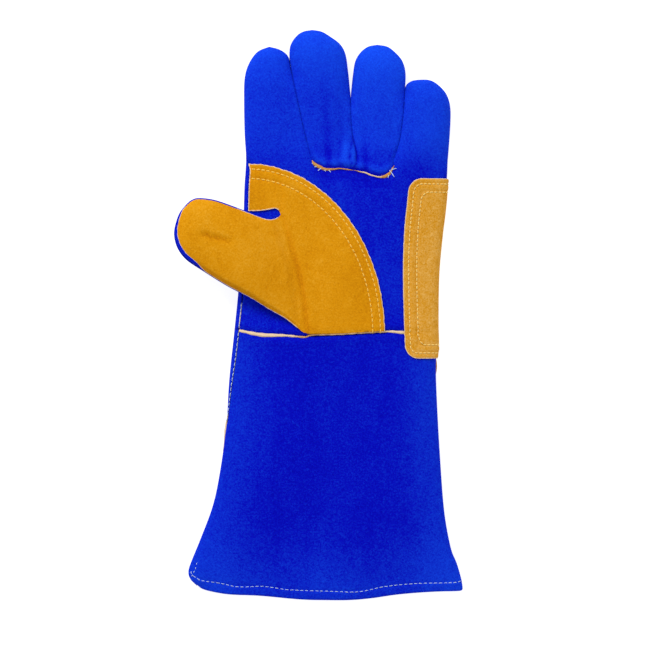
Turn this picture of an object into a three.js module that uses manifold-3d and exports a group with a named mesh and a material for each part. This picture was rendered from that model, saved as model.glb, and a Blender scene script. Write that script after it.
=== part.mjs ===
// A left-hand welding glove with a long gauntlet cuff, lying on its back with the palm up.
// Millimetres. +Z is up, +Y runs from the cuff to the fingertips, and the thumb is on the -X side.
// The leather is a set of hollow shells, split along the side seams and at the joints,
// with a fleece lining sleeve inside each stretch.
import * as THREE from 'three';
import { mergeVertices } from 'three/addons/utils/BufferGeometryUtils.js';
import Module from 'manifold-3d';

// Sheet thicknesses and clearances
const LEATHER = 1.3;
const LINING = 1.0;
const TOUCH = 0.3;
const LINING_GAP = 0.5;
const FINGER_GAP = 1.0;
const PATCH_LIFT = 0.6;

// Heights of the stuffed-flat glove
const TRUNK_HALF = 11;
const MOUTH_HALF = 10;
const FINGER_HALF = 10;
const THUMB_HALF = 7.8;
const THUMB_ROOT_HALF = 1.9;

// Stations along the glove
const HEM_Y = -200;
const WRIST_Y = -12;
const KNUCKLE_Y = 112;
const MIDDLE_KNUCKLE_Y = 152;
const LITTLE_MIDDLE_KNUCKLE_Y = 137;

// Half of each joint's largest bend, which sets how wide the folds between shells open
const WRIST_BEND = 30;
const KNUCKLE_BEND = 55;
const MIDDLE_KNUCKLE_BEND = 65;
const THUMB_TIP_BEND = 45;

// The hem is a shallow curve, lowest at HEM_MID_X
const HEM_MID_X = 14;
const HEM_RISE = 0.0011;
const HEM_STITCH = 6.5;

// Palm patch: a quarter ellipse from the wrist seam to the index finger
const PATCH_CENTRE = { x: -50.6, y: -10 };
const PATCH_RADIUS = { x: 96, y: 115.5 };
const PATCH_LEFT_X = -46;
const PATCH_BOTTOM_Y = -7;
const NOTCH_Y = 74;

// Heel patch: its ends, corner radius, and how far it turns round the little-finger side, in degrees
const HEEL = { bottom: -30, top: 95, corner: 7, palmAngle: 60, backAngle: 30 };
const HEEL_THREAD_LEFT = 61.5;
const HEEL_THREAD_RIGHT = 80;

// Stitching, rolled welts, and the flat welts that stand proud of the side seams
const THREAD_RADIUS = 0.35;
const OUTER_ROW = 3;
const INNER_ROW = 8.7;
const WELT_RADIUS = 0.9;
const WELT_PROUD = 1.0;
const WRIST_WELT_X = [-48, 54];
const HEM_STITCH_X = { front: [-80, 88], back: [-68, 78] };
const SIDE_WELT_START = { thumb: 18, little: 13 };

// The opening that joins the thumb's hollow to the hand's, in the thumb's own axes
const THUMB_HOLE = [[6, -18], [30, -18], [32, 0], [30, 16], [20, 16]];

// The thumb's own axes: its middle line starts halfway along the fold where it lifts off the palm
const THUMB_ORIGIN = { x: -18, y: 28 };
const THUMB_TURN = 157;
const THUMB_FLOOR = TRUNK_HALF * 2 + 0.5;
const THUMB_FOLD_SLOPE = 0.68;
const THUMB_RAMP = 34;
const THUMB_BACK_START = 24;
const THUMB_HINGE = 50;
const THUMB_TIP = 89.2;

const colours = {
  blue: 0x0b1ac4,
  gold: 0xd9941c,
  tan: 0xc07a2c,
  cream: 0xe8dfc4,
  fleece: 0xd8d2c0,
};

const leather = (colour) => new THREE.MeshStandardMaterial({ color: colour, roughness: 0.92, metalness: 0 });
const thread = () => new THREE.MeshStandardMaterial({ color: colours.cream, roughness: 0.6, metalness: 0 });
const fleece = () => new THREE.MeshStandardMaterial({ color: colours.fleece, roughness: 1, metalness: 0 });

const wasm = await Module();
wasm.setup();

const glove = new THREE.Group();

function addPiece(name, geometry, material) {
  const mesh = new THREE.Mesh(geometry, material);
  mesh.name = name;
  glove.add(mesh);
}

// ---------------------------------------------------------------- solids

const lerp = THREE.MathUtils.lerp;
const halfAngleSlope = (degrees) => Math.tan(THREE.MathUtils.degToRad(degrees / 2));

// Straight-line interpolation through [station, value] pairs in rising order of station.
function along(pairs) {
  return (s) => {
    let i = 1;
    while (i < pairs.length - 1 && s > pairs[i][0]) i += 1;
    const [s0, v0] = pairs[i - 1];
    const [s1, v1] = pairs[i];
    return lerp(v0, v1, THREE.MathUtils.clamp((s - s0) / (s1 - s0), 0, 1));
  };
}

// The closed solid between two matching grids of points; ring joins each row's end to its start.
function slab(outer, inner, ring = false) {
  const rows = outer.length;
  const columns = outer[0].length;
  const position = [...outer.flat(), ...inner.flat()].flatMap((p) => [p.x, p.y, p.z]);
  const index = [];
  const at = (layer, i, j) => layer * rows * columns + i * columns + (j % columns);
  const quad = (a, b, c, d) => index.push(a, b, c, a, c, d);
  const spans = ring ? columns : columns - 1;
  for (let i = 0; i < rows - 1; i += 1) {
    for (let j = 0; j < spans; j += 1) {
      quad(at(0, i, j), at(0, i, j + 1), at(0, i + 1, j + 1), at(0, i + 1, j));
      quad(at(1, i, j), at(1, i + 1, j), at(1, i + 1, j + 1), at(1, i, j + 1));
    }
  }
  for (let j = 0; j < spans; j += 1) {
    quad(at(0, 0, j), at(1, 0, j), at(1, 0, j + 1), at(0, 0, j + 1));
    quad(at(0, rows - 1, j), at(0, rows - 1, j + 1), at(1, rows - 1, j + 1), at(1, rows - 1, j));
  }
  for (let i = 0; i < rows - 1 && !ring; i += 1) {
    quad(at(0, i, 0), at(0, i + 1, 0), at(1, i + 1, 0), at(1, i, 0));
    quad(at(0, i, columns - 1), at(1, i, columns - 1), at(1, i + 1, columns - 1), at(0, i + 1, columns - 1));
  }
  if (enclosedVolume(position, index) < 0) index.reverse();
  const geometry = new THREE.BufferGeometry();
  geometry.setAttribute('position', new THREE.Float32BufferAttribute(position, 3));
  geometry.setIndex(index);
  geometry.computeVertexNormals();
  return geometry;
}

function enclosedVolume(position, index) {
  const corner = (k) => new THREE.Vector3().fromArray(position, 3 * index[k]);
  let total = 0;
  for (let k = 0; k < index.length; k += 3) {
    total += corner(k).dot(corner(k + 1).cross(corner(k + 2))) / 6;
  }
  return total;
}

function toManifold(geometry) {
  const bare = geometry.clone();
  bare.deleteAttribute('normal');
  bare.deleteAttribute('uv');
  const merged = mergeVertices(bare, 1e-5);
  return new wasm.Manifold(new wasm.Mesh({
    numProp: 3,
    vertProperties: new Float32Array(merged.attributes.position.array),
    triVerts: new Uint32Array(merged.index.array),
  }));
}

function cut(geometry, tool) {
  const mesh = toManifold(geometry).subtract(toManifold(tool)).getMesh();
  const result = new THREE.BufferGeometry();
  result.setAttribute('position', new THREE.Float32BufferAttribute(mesh.vertProperties, 3));
  result.setIndex(Array.from(mesh.triVerts));
  result.computeVertexNormals();
  return result;
}

// A round cord of the given radius along a smooth curve through the points.
function cord(points, radius, steps) {
  const path = new THREE.CatmullRomCurve3(points);
  const shape = new THREE.Shape();
  shape.absarc(0, 0, radius, 0, Math.PI * 2);
  return new THREE.ExtrudeGeometry(shape, {
    steps,
    curveSegments: 3,
    extrudePath: path,
    bevelEnabled: false,
  });
}

// ---------------------------------------------------------------- glove tubes

// Each tube has its own axes: s along it, t across it, z up. Its section is a superellipse
// with its widest line at the side seams; end and dome close it over a fingertip.
const FRONT = 1;
const BACK = -1;

function section(tube, s, side, angle, inset, part) {
  const middle = (tube.left(s) + tube.right(s)) / 2;
  const halfWidth = (tube.right(s) - tube.left(s)) / 2 - inset;
  let close = 1;
  if (tube.end !== undefined) {
    const domeStart = tube.end - tube.dome;
    const reach = Math.max(0, (s - domeStart) / (tube.dome - inset));
    close = Math.max(0.12, 1 - reach ** tube.domePower) ** (1 / tube.domePower);
  }
  const power = 2 / tube.squareness;
  const across = Math.sign(Math.cos(angle)) * Math.abs(Math.cos(angle)) ** power;
  const t = middle + halfWidth * close * across;
  const half = tube.half(s, t);
  const rise = Math.abs(Math.sin(angle)) ** power;
  const height = part + (half - inset - part) * close * rise;
  return { t, z: tube.floor + half + side * Math.max(0, height) };
}

// A point on a tube between its two ends, which are functions of t and z.
function onTube(tube, ends, side, angle, v, inset, part) {
  let s = lerp(ends.nominal[0], ends.nominal[1], v);
  for (let pass = 0; pass < 3; pass += 1) {
    const { t, z } = section(tube, s, side, angle, inset, part);
    s = lerp(ends.start(t, z), ends.finish(t, z) - (ends.closed ? inset : 0), v);
  }
  const { t, z } = section(tube, s, side, angle, inset, part);
  return tube.place(s, t, z);
}

const evenRows = (count) => Array.from({ length: count + 1 }, (_, i) => i / count);
const tipRows = (count) => evenRows(count).map((v) => 1 - (1 - v) ** 1.7);

function halfShell(tube, ends, side, rows, columns, inset = 0, wall = LEATHER) {
  const part = tube.part;
  const layer = (depth) => rows.map((v) => evenRows(columns).map(
    (u) => onTube(tube, ends, side, u * Math.PI, v, depth, part),
  ));
  return slab(layer(inset), layer(inset + wall));
}

function sleeve(tube, ends, rows, columns) {
  const inset = LEATHER + LINING_GAP;
  const layer = (depth) => rows.map((v) => evenRows(columns).slice(0, -1).map((u) => {
    const angle = u * Math.PI * 2;
    return onTube(tube, ends, angle < Math.PI ? FRONT : BACK, angle, v, depth, 0);
  }));
  return slab(layer(inset), layer(inset + LINING), true);
}

// The end of a shell beside a joint: the fold opens as a V on the side that closes when it bends.
const fold = (pivot, slope, direction, bothSides = false) => (t, z) => {
  const height = z - pivot.z;
  const open = bothSides ? Math.abs(height) : Math.max(0, height);
  return pivot.s + direction * (open * slope + TOUCH);
};

const straightPlace = (s, t, z) => new THREE.Vector3(t, s, z);

// ---------------------------------------------------------------- hand and cuff

// Half height of the hand and cuff; the cuff's mouth is a little flatter
const trunkHalf = along([[HEM_Y, MOUTH_HALF], [WRIST_Y, TRUNK_HALF], [KNUCKLE_Y, TRUNK_HALF]]);

const trunk = {
  left: along([
    [HEM_Y, -97], [-170, -88], [-135, -75.5], [-101, -69], [-62, -65], [WRIST_Y, -58.5],
    [16, -55], [60, -52.5], [KNUCKLE_Y, -52],
  ]),
  right: along([
    [HEM_Y, 103], [-174, 96.5], [-141, 88], [-96, 84.5], [WRIST_Y, 82], [16, 82.5], [66, 86.5], [KNUCKLE_Y, 90.3],
  ]),
  floor: 0,
  half: trunkHalf,
  squareness: 4,
  part: 0.8,
  place: straightPlace,
};

const wristPivot = { s: WRIST_Y, z: TRUNK_HALF };
const knucklePivot = { s: KNUCKLE_Y, z: FINGER_HALF };
const hemLine = (inset) => (t) => HEM_Y + HEM_RISE * (t - HEM_MID_X) ** 2 + inset;

const handEnds = {
  nominal: [WRIST_Y, KNUCKLE_Y],
  start: fold(wristPivot, halfAngleSlope(WRIST_BEND), 1, true),
  finish: fold(knucklePivot, halfAngleSlope(KNUCKLE_BEND), -1),
};
const cuffEnds = {
  nominal: [WRIST_Y, HEM_Y],
  start: fold(wristPivot, halfAngleSlope(WRIST_BEND), -1, true),
  finish: hemLine(0),
};
const cuffLiningEnds = { ...cuffEnds, finish: hemLine(3) };

// Height of the palm side's outer surface over a point of the trunk.
function trunkTop(x, y, above) {
  const middle = (trunk.left(y) + trunk.right(y)) / 2;
  const halfWidth = (trunk.right(y) - trunk.left(y)) / 2;
  const across = Math.min(1, Math.abs(x - middle) / halfWidth);
  const rise = (1 - across ** trunk.squareness) ** (1 / trunk.squareness);
  return trunkHalf(y) + trunk.part + (trunkHalf(y) - trunk.part) * rise + above;
}

// The opening in the palm through which the thumb's hollow joins the hand's.
function thumbHole() {
  const shape = new THREE.Shape();
  THUMB_HOLE.forEach(([s, t], i) => {
    const p = thumb.place(s, t, 0);
    if (i === 0) shape.moveTo(p.x, p.y);
    else shape.lineTo(p.x, p.y);
  });
  shape.closePath();
  const prism = new THREE.ExtrudeGeometry(shape, { depth: TRUNK_HALF, bevelEnabled: false });
  prism.translate(0, 0, TRUNK_HALF * 1.5);
  return prism;
}

// ---------------------------------------------------------------- thumb

const thumb = {
  left: along([[-24, -33], [8, -28], [30, -25.6], [60, -20.5], [THUMB_TIP, -15.5]]),
  right: along([[0, 29], [30, 28], [62, 27.5], [THUMB_TIP, 24]]),
  floor: THUMB_FLOOR,
  half: (s, t) => {
    const fromFold = THREE.MathUtils.clamp((s - THUMB_FOLD_SLOPE * t) / THUMB_RAMP, 0, 1);
    return lerp(THUMB_ROOT_HALF, THUMB_HALF, THREE.MathUtils.smoothstep(fromFold, 0, 1));
  },
  squareness: 2.6,
  part: 0.3,
  end: THUMB_TIP,
  dome: 24,
  domePower: 2.2,
  place: (s, t, z) => {
    const turn = THREE.MathUtils.degToRad(THUMB_TURN);
    return new THREE.Vector3(
      THUMB_ORIGIN.x + s * Math.cos(turn) + t * Math.sin(turn),
      THUMB_ORIGIN.y + s * Math.sin(turn) - t * Math.cos(turn),
      z,
    );
  },
};

const thumbPivot = { s: THUMB_HINGE, z: THUMB_FLOOR + THUMB_HALF };
const thumbFold = (t) => THUMB_FOLD_SLOPE * t + 0.7;
const thumbBaseFinish = fold(thumbPivot, halfAngleSlope(THUMB_TIP_BEND), -1);
const thumbEnds = {
  front: { nominal: [0, THUMB_HINGE], start: thumbFold, finish: thumbBaseFinish },
  back: { nominal: [0, THUMB_HINGE], start: (t) => thumbFold(t) + THUMB_BACK_START, finish: thumbBaseFinish },
  tip: {
    nominal: [THUMB_HINGE, THUMB_TIP],
    start: fold(thumbPivot, halfAngleSlope(THUMB_TIP_BEND), 1),
    finish: () => THUMB_TIP,
    closed: true,
  },
};

// ---------------------------------------------------------------- fingers

// Edges at the knuckle and near the tip, on the lines where the fingers meet
const fingers = [
  { name: 'index', root: [-52, -5.9], tip: [-52.9, -18.3], tipAt: 167, end: 188.3, joint: MIDDLE_KNUCKLE_Y },
  { name: 'middle', root: [-5.9, 25.9], tip: [-21.3, 20.5], tipAt: 180, end: 200.2, joint: MIDDLE_KNUCKLE_Y },
  { name: 'ring', root: [25.9, 52.4], tip: [23.4, 59.4], tipAt: 165, end: 189.7, joint: MIDDLE_KNUCKLE_Y },
  { name: 'little', root: [52.4, 90.3], tip: [59, 91.6], tipAt: 148, end: 165.2, joint: LITTLE_MIDDLE_KNUCKLE_Y },
];

function fingerTube(finger) {
  const edge = (side, gap) => along([
    [KNUCKLE_Y, finger.root[side] + gap],
    [finger.tipAt, finger.tip[side] + gap],
  ]);
  return {
    left: edge(0, finger.name === 'index' ? 0 : FINGER_GAP),
    right: edge(1, finger.name === 'little' ? 0 : -FINGER_GAP),
    floor: 0,
    half: () => FINGER_HALF,
    squareness: 2.6,
    part: 0.3,
    end: finger.end,
    dome: 20,
    domePower: 2.2,
    place: straightPlace,
  };
}

function addFinger(finger) {
  const tube = fingerTube(finger);
  const tipPivot = { s: finger.joint, z: FINGER_HALF };
  const base = {
    nominal: [KNUCKLE_Y, finger.joint],
    start: fold(knucklePivot, halfAngleSlope(KNUCKLE_BEND), 1),
    finish: fold(tipPivot, halfAngleSlope(MIDDLE_KNUCKLE_BEND), -1),
  };
  const tip = {
    nominal: [finger.joint, finger.end],
    start: fold(tipPivot, halfAngleSlope(MIDDLE_KNUCKLE_BEND), 1),
    finish: () => finger.end,
    closed: true,
  };
  addPiece(`${finger.name}_base_front`, halfShell(tube, base, FRONT, evenRows(2), 8), leather(colours.blue));
  addPiece(`${finger.name}_base_back`, halfShell(tube, base, BACK, evenRows(2), 8), leather(colours.blue));
  addPiece(`${finger.name}_base_lining`, sleeve(tube, base, evenRows(1), 16), fleece());
  addPiece(`${finger.name}_tip_front`, halfShell(tube, tip, FRONT, tipRows(5), 8), leather(colours.blue));
  addPiece(`${finger.name}_tip_back`, halfShell(tube, tip, BACK, tipRows(5), 8), leather(colours.blue));
  addPiece(`${finger.name}_tip_lining`, sleeve(tube, tip, tipRows(5), 16), fleece());
}

// ---------------------------------------------------------------- patches, welts and threads

const patchRightX = (y, inset = 0) => {
  const level = (y - PATCH_CENTRE.y) / (PATCH_RADIUS.y - inset);
  return PATCH_CENTRE.x + (PATCH_RADIUS.x - inset) * Math.sqrt(Math.max(0, 1 - level ** 2));
};
const foldX = (y) => {
  const lower = thumb.place(THUMB_FOLD_SLOPE * -30, -30, 0);
  const upper = thumb.place(THUMB_FOLD_SLOPE * 30, 30, 0);
  return lerp(lower.x, upper.x, (y - lower.y) / (upper.y - lower.y)) + 0.8;
};

function palmPatch() {
  const levels = [PATCH_BOTTOM_Y, 15, 35, 53, NOTCH_Y - 2, NOTCH_Y, 84, 93, 99, 103];
  const layer = (above) => levels.map((y) => evenRows(8).map((u) => {
    const leftX = y < NOTCH_Y ? foldX(y) : PATCH_LEFT_X;
    const x = lerp(leftX, patchRightX(y), u ** 1.6);
    return new THREE.Vector3(x, y, trunkTop(x, y, above));
  }));
  return slab(layer(PATCH_LIFT + LEATHER), layer(PATCH_LIFT));
}

// Stitching that follows the patch's curved edge at a distance inside it.
function patchThread(inset) {
  const height = PATCH_LIFT + LEATHER + TOUCH + THREAD_RADIUS;
  const points = evenRows(12).map((u) => {
    const angle = THREE.MathUtils.degToRad(lerp(4, 84, u));
    const x = PATCH_CENTRE.x + (PATCH_RADIUS.x - inset) * Math.cos(angle);
    const y = PATCH_CENTRE.y + (PATCH_RADIUS.y - inset) * Math.sin(angle);
    return new THREE.Vector3(x, y, trunkTop(x, y, height));
  });
  return cord(points, THREAD_RADIUS, 24);
}

// The heel patch starts on the palm and wraps the little-finger side on to the back.
function heelPatch() {
  const levels = [0, 0.03, 0.08, 0.2, 0.35, 0.5, 0.65, 0.8, 0.92, 0.97, 1];
  const angles = [HEEL.palmAngle, 45, 30, 15, 0, -0.001, -15, -HEEL.backAngle];
  const layer = (above) => levels.map((v) => angles.map((degrees, i) => {
    const y = lerp(HEEL.bottom, HEEL.top, v);
    const fromEnd = Math.min(v, 1 - v) * (HEEL.top - HEEL.bottom);
    const round = Math.max(0, 1 - fromEnd / HEEL.corner);
    const angle = THREE.MathUtils.degToRad(i === 0 ? degrees - 7 * round ** 2 : degrees);
    const side = degrees < 0 ? BACK : FRONT;
    const { t, z } = section(trunk, y, side, angle, -above, trunk.part);
    return new THREE.Vector3(t, y, z);
  }));
  return slab(layer(PATCH_LIFT + LEATHER), layer(PATCH_LIFT));
}

// A three-sided row of stitching inside the heel patch's palm edge.
function heelThread(inset) {
  const height = PATCH_LIFT + LEATHER + TOUCH + THREAD_RADIUS;
  const left = HEEL_THREAD_LEFT + inset;
  const right = HEEL_THREAD_RIGHT;
  const low = HEEL.bottom + inset;
  const high = HEEL.top - inset;
  const route = [
    [right, low], [72, low], [left + 3, low + 1], [left, low + 6], [left - 0.5, 20],
    [left, 55], [left + 1.5, high - 12], [left + 5, high - 2], [76, high], [right + 2, high],
  ];
  const points = route.map(([x, y]) => new THREE.Vector3(x, y, trunkTop(x, y, height)));
  return cord(points, THREAD_RADIUS, 30);
}

// A flat strip caught in a side seam, between the palm-side and back-side shells, and
// standing proud of them outside.
function sideWelt(side, lowY, highY, count, proud) {
  const edge = side < 0 ? trunk.left : trunk.right;
  const halfThick = trunk.part - TOUCH;
  const layer = (z) => evenRows(count).map((v) => {
    const y = lerp(lowY, highY, v);
    return [-proud, LEATHER].map((inset) => new THREE.Vector3(edge(y) - side * inset, y, trunkHalf(y) + z));
  });
  return slab(layer(halfThick), layer(-halfThick));
}

// The strip caught in the seam where the middle and ring finger fronts are sewn to the palm.
function fingerBaseWelt() {
  const route = [[-3, 103.3], [6, 101.6], [20, 101.8], [30, 100], [40, 97], [50, 100.5]];
  const above = TOUCH + WELT_RADIUS;
  return cord(route.map(([x, y]) => new THREE.Vector3(x, y, trunkTop(x, y, above))), WELT_RADIUS, 14);
}

// The welt where the hand is sewn to the cuff, lying in the fold of the wrist.
function wristWelt(side) {
  const points = evenRows(8).map((u) => {
    const x = lerp(...WRIST_WELT_X, u);
    const z = side > 0 ? trunkTop(x, WRIST_Y, -WELT_RADIUS) : 2 * TRUNK_HALF - trunkTop(x, WRIST_Y, -WELT_RADIUS);
    return new THREE.Vector3(x, WRIST_Y, z);
  });
  return cord(points, WELT_RADIUS, 16);
}

// The hem's stitching: on the palm side it lies outside, on the back side inside on the lining.
function hemThread(side) {
  const above = TOUCH + THREAD_RADIUS;
  const inward = LEATHER + LINING_GAP + LINING + above;
  const points = evenRows(12).map((u) => {
    const x = lerp(...(side > 0 ? HEM_STITCH_X.front : HEM_STITCH_X.back), u);
    const y = hemLine(HEM_STITCH)(x);
    const z = side > 0 ? trunkTop(x, y, above) : 2 * trunkHalf(y) - trunkTop(x, y, -inward);
    return new THREE.Vector3(x, y, z);
  });
  return cord(points, THREAD_RADIUS, 24);
}

// ---------------------------------------------------------------- the glove

const hole = thumbHole();
addPiece('palm_panel', cut(halfShell(trunk, handEnds, FRONT, evenRows(5), 12), hole), leather(colours.blue));
addPiece('back_panel', halfShell(trunk, handEnds, BACK, evenRows(5), 12), leather(colours.blue));
addPiece('hand_lining', cut(sleeve(trunk, handEnds, evenRows(5), 24), hole), fleece());
addPiece('palm_patch', palmPatch(), leather(colours.gold));
addPiece('palm_patch_outer_thread', patchThread(OUTER_ROW), thread());
addPiece('palm_patch_inner_thread', patchThread(INNER_ROW), thread());
addPiece('heel_patch', heelPatch(), leather(colours.gold));
addPiece('heel_patch_outer_thread', heelThread(OUTER_ROW + 0.5), thread());
addPiece('heel_patch_inner_thread', heelThread(INNER_ROW + 0.3), thread());
addPiece('finger_base_welt', fingerBaseWelt(), leather(colours.tan));
addPiece('wrist_welt_front', wristWelt(FRONT), leather(colours.tan));
addPiece('wrist_welt_back', wristWelt(BACK), leather(colours.tan));
addPiece('hand_thumb_side_welt', sideWelt(-1, WRIST_Y + 2, KNUCKLE_Y - 2, 6, WELT_PROUD), leather(colours.tan));
addPiece('hand_little_side_welt', sideWelt(1, WRIST_Y + 2, KNUCKLE_Y - 2, 6, 0), leather(colours.tan));

fingers.forEach(addFinger);

addPiece('thumb_base_front', halfShell(thumb, thumbEnds.front, FRONT, evenRows(7), 8), leather(colours.gold));
addPiece('thumb_base_back', halfShell(thumb, thumbEnds.back, BACK, evenRows(3), 8), leather(colours.blue));
addPiece('thumb_base_lining', sleeve(thumb, thumbEnds.back, evenRows(3), 16), fleece());
addPiece('thumb_tip_front', halfShell(thumb, thumbEnds.tip, FRONT, tipRows(6), 8), leather(colours.gold));
addPiece('thumb_tip_back', halfShell(thumb, thumbEnds.tip, BACK, tipRows(6), 8), leather(colours.blue));
addPiece('thumb_tip_lining', sleeve(thumb, thumbEnds.tip, tipRows(6), 16), fleece());

addPiece('cuff_front', halfShell(trunk, cuffEnds, FRONT, evenRows(8), 12), leather(colours.blue));
addPiece('cuff_back', halfShell(trunk, cuffEnds, BACK, evenRows(8), 12), leather(colours.blue));
addPiece('cuff_lining', sleeve(trunk, cuffLiningEnds, evenRows(8), 24), fleece());
addPiece(
  'cuff_thumb_side_welt',
  sideWelt(-1, HEM_Y + SIDE_WELT_START.thumb, WRIST_Y - 2, 8, WELT_PROUD),
  leather(colours.tan),
);
addPiece(
  'cuff_little_side_welt',
  sideWelt(1, HEM_Y + SIDE_WELT_START.little, HEEL.bottom - 3, 8, WELT_PROUD),
  leather(colours.tan),
);
addPiece('hem_thread_front', hemThread(FRONT), thread());
addPiece('hem_thread_back', hemThread(BACK), thread());

export default glove;
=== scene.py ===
"""A left-hand suede welding glove lying palm up: leather panels, patches, welts, stitches and lining."""
import math
import bpy
import numpy as np
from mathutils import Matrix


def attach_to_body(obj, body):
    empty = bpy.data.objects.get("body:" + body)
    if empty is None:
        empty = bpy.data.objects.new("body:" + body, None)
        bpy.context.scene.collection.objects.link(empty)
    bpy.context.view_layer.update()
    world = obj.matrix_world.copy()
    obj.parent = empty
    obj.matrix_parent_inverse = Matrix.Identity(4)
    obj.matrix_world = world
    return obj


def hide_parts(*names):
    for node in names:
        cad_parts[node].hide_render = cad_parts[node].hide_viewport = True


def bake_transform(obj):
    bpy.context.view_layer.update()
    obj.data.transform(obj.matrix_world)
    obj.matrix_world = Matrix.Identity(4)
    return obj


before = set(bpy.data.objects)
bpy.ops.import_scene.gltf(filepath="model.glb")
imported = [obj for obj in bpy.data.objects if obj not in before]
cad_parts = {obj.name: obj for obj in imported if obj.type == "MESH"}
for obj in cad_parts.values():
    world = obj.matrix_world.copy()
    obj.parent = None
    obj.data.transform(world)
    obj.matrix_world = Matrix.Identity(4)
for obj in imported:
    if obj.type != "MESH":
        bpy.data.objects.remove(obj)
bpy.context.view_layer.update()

# Shapes are worked out in millimetres, in the frame's axes, and written to Blender in metres.
MM = 0.001
UP = (0, 0, 1)
DOWN = (0, 0, -1)
rng = np.random.default_rng(7)

# ---------------------------------------------------------------- driving sizes

LEATHER = 1.3
THUMB_LEATHER = 0.9
LINING = 1.6
LINING_CLEARANCE = 1.1
PATCH_LIFT = 0.15
HEM_TURN = 12.0
HEM_ROW_UP = 6.4
SEAM_GAP = 0.28
SEAM_SLOT = 0.5
SEAM_TUCK = 0.7
DITCH_FILL = 0.75

# Height of the side seams above the floor, and how far the two sides bulge from it
SEAM_Z = 10.5
HAND_FRONT = 11.2
HAND_BACK = 11.2
MOUTH_FRONT = 9.6
FINGER_FRONT = 9.4
FINGER_BACK = 10.8

# Stations along the glove
FINGER_ROOT_Y = 108.0
HAND_SPLIT_Y = 98.0
CREASE_START_Y = 101.0
CREASE_FULL_Y = 131.0

# Zones in which the leather bends, from one body to the next; the thumb's are on its own axis
FINGER_ZONES = {"index": (143.0, 161.0), "middle": (143.0, 161.0), "ring": (143.0, 161.0),
                "little": (129.0, 145.0)}
THUMB_ORIGIN = np.array([-18.0, 28.0])
THUMB_HEADING = math.radians(157)
THUMB_AXIS = np.array([math.cos(THUMB_HEADING), math.sin(THUMB_HEADING)])
THUMB_ZONE = (41, 59)

# Grid columns across one finger and across the thumb
COLUMNS = 16
THUMB_COLUMNS = 44

# The thumb lies over the palm: height of its middle at the fold, its half thickness and how fast that grows
THUMB_Z = 22.7
THUMB_HALF = 7.0
THUMB_RAMP = 44.0
THUMB_BACK_START = 0.07
THUMB_CLEARANCE = 2.3
FOLD_OVERLAP = 1.2

# The palm patch is a quarter ellipse; stitch rows and the ridge between them are measured in from the border
PATCH_CENTRE = np.array([-50.6, -13.0])
PATCH_RADIUS = np.array([96.0, 118.7])
PATCH_DEPTH = 103
PATCH_ROWS = {"outer": 3.0, "inner": 8.7}
PATCH_RIDGE = 5.9

# The heel patch wraps the little-finger side on to the back
HEEL_LOW, HEEL_HIGH = -30.2, 95.4
HEEL_CORNER = 8.5
HEEL_WRAP = 24.0
HEEL_ROWS = {"outer": 3.6, "inner": 9.3}
HEEL_RIDGE = 6.4

STITCH_PITCH = 3.6
STITCH_LENGTH = 2.9
STITCH_RADIUS = 0.46

# Valleys in the finger fronts above the finger-base seam: place, depth, width, reach and lean
GATHERS = [(0.5, 0.8, 2.2, 10, 0.10), (6.6, 1.7, 2.5, 26, 0.05), (14.2, 1.3, 1.8, 20, -0.02),
           (32.4, 1.9, 2.6, 16, 0.04), (38.5, 0.7, 1.9, 11, 0.0), (43.5, 0.8, 2.0, 9, -0.05),
           (48.2, 1.1, 2.2, 12, -0.08)]

# The camera looks straight down, in metres: where it stands, and how wide the view is at that distance
CAMERA_PLACE = (0.00385, -0.007, 3.0)
VIEW_DISTANCE = 2.98
VIEW_WIDTH = 0.455
FLOOR_HALF = 4.0


# ---------------------------------------------------------------- curves

class Curve:
    """A smooth plane curve through a few points, read by arc length, or by y or x where it never turns back."""

    def __init__(self, points, steps=24):
        p = np.array(points, float)
        ends = np.vstack([2 * p[0] - p[1], p, 2 * p[-1] - p[-2]])
        u = np.linspace(0, 1, steps, endpoint=False)[:, None]
        runs = []
        for a, b, c, d in zip(ends[:-3], ends[1:-2], ends[2:-1], ends[3:]):
            runs.append(0.5 * (2 * b + (c - a) * u + (2 * a - 5 * b + 4 * c - d) * u**2
                               + (3 * b - a - 3 * c + d) * u**3))
        self.points = np.vstack(runs + [p[-1:]])
        leaps = np.linalg.norm(np.diff(self.points, axis=0), axis=1)
        self.fraction = np.concatenate([[0], np.cumsum(leaps)]) / leaps.sum()

    def at(self, f):
        return np.stack([np.interp(f, self.fraction, self.points[:, i]) for i in range(2)], axis=-1)

    def x_at(self, y):
        order = np.argsort(self.points[:, 1])
        return np.interp(y, self.points[order, 1], self.points[order, 0])

    def y_at(self, x):
        order = np.argsort(self.points[:, 0])
        return np.interp(x, self.points[order, 0], self.points[order, 1])


LEFT_EDGE = Curve([(-53, 150), (-52.6, 128), (-51.6, 112), (-52, 100), (-52.7, 90), (-53.8, 60), (-57.1, 16),
                   (-59.9, -12), (-63.4, -45.5), (-65.6, -79), (-70.4, -113), (-75.3, -135), (-83.7, -157.5),
                   (-90.4, -174), (-92.1, -180.5), (-90.6, -185.6), (-86.2, -190)])
RIGHT_EDGE = Curve([(91.4, 145), (90.8, 122), (90, 108), (89.4, 95), (87.2, 72), (85.1, 55), (82.7, 28),
                    (82.2, -5), (82.6, -22), (81.7, -34), (82.3, -57), (84.4, -96), (87.5, -137),
                    (92.1, -163), (96.3, -174), (99.5, -185), (100.8, -193)])
HEM = Curve([(-86.2, -190), (-81.1, -192.5), (-71.1, -194.7), (-61.2, -195.9), (-41.2, -196.7),
             (-13.7, -199.1), (7.4, -199.6), (22.8, -199.5), (37.5, -198.2), (52.9, -196), (68.3, -194.6), (83.3, -193.8),
             (97.5, -193.6), (100.8, -193)])
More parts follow.
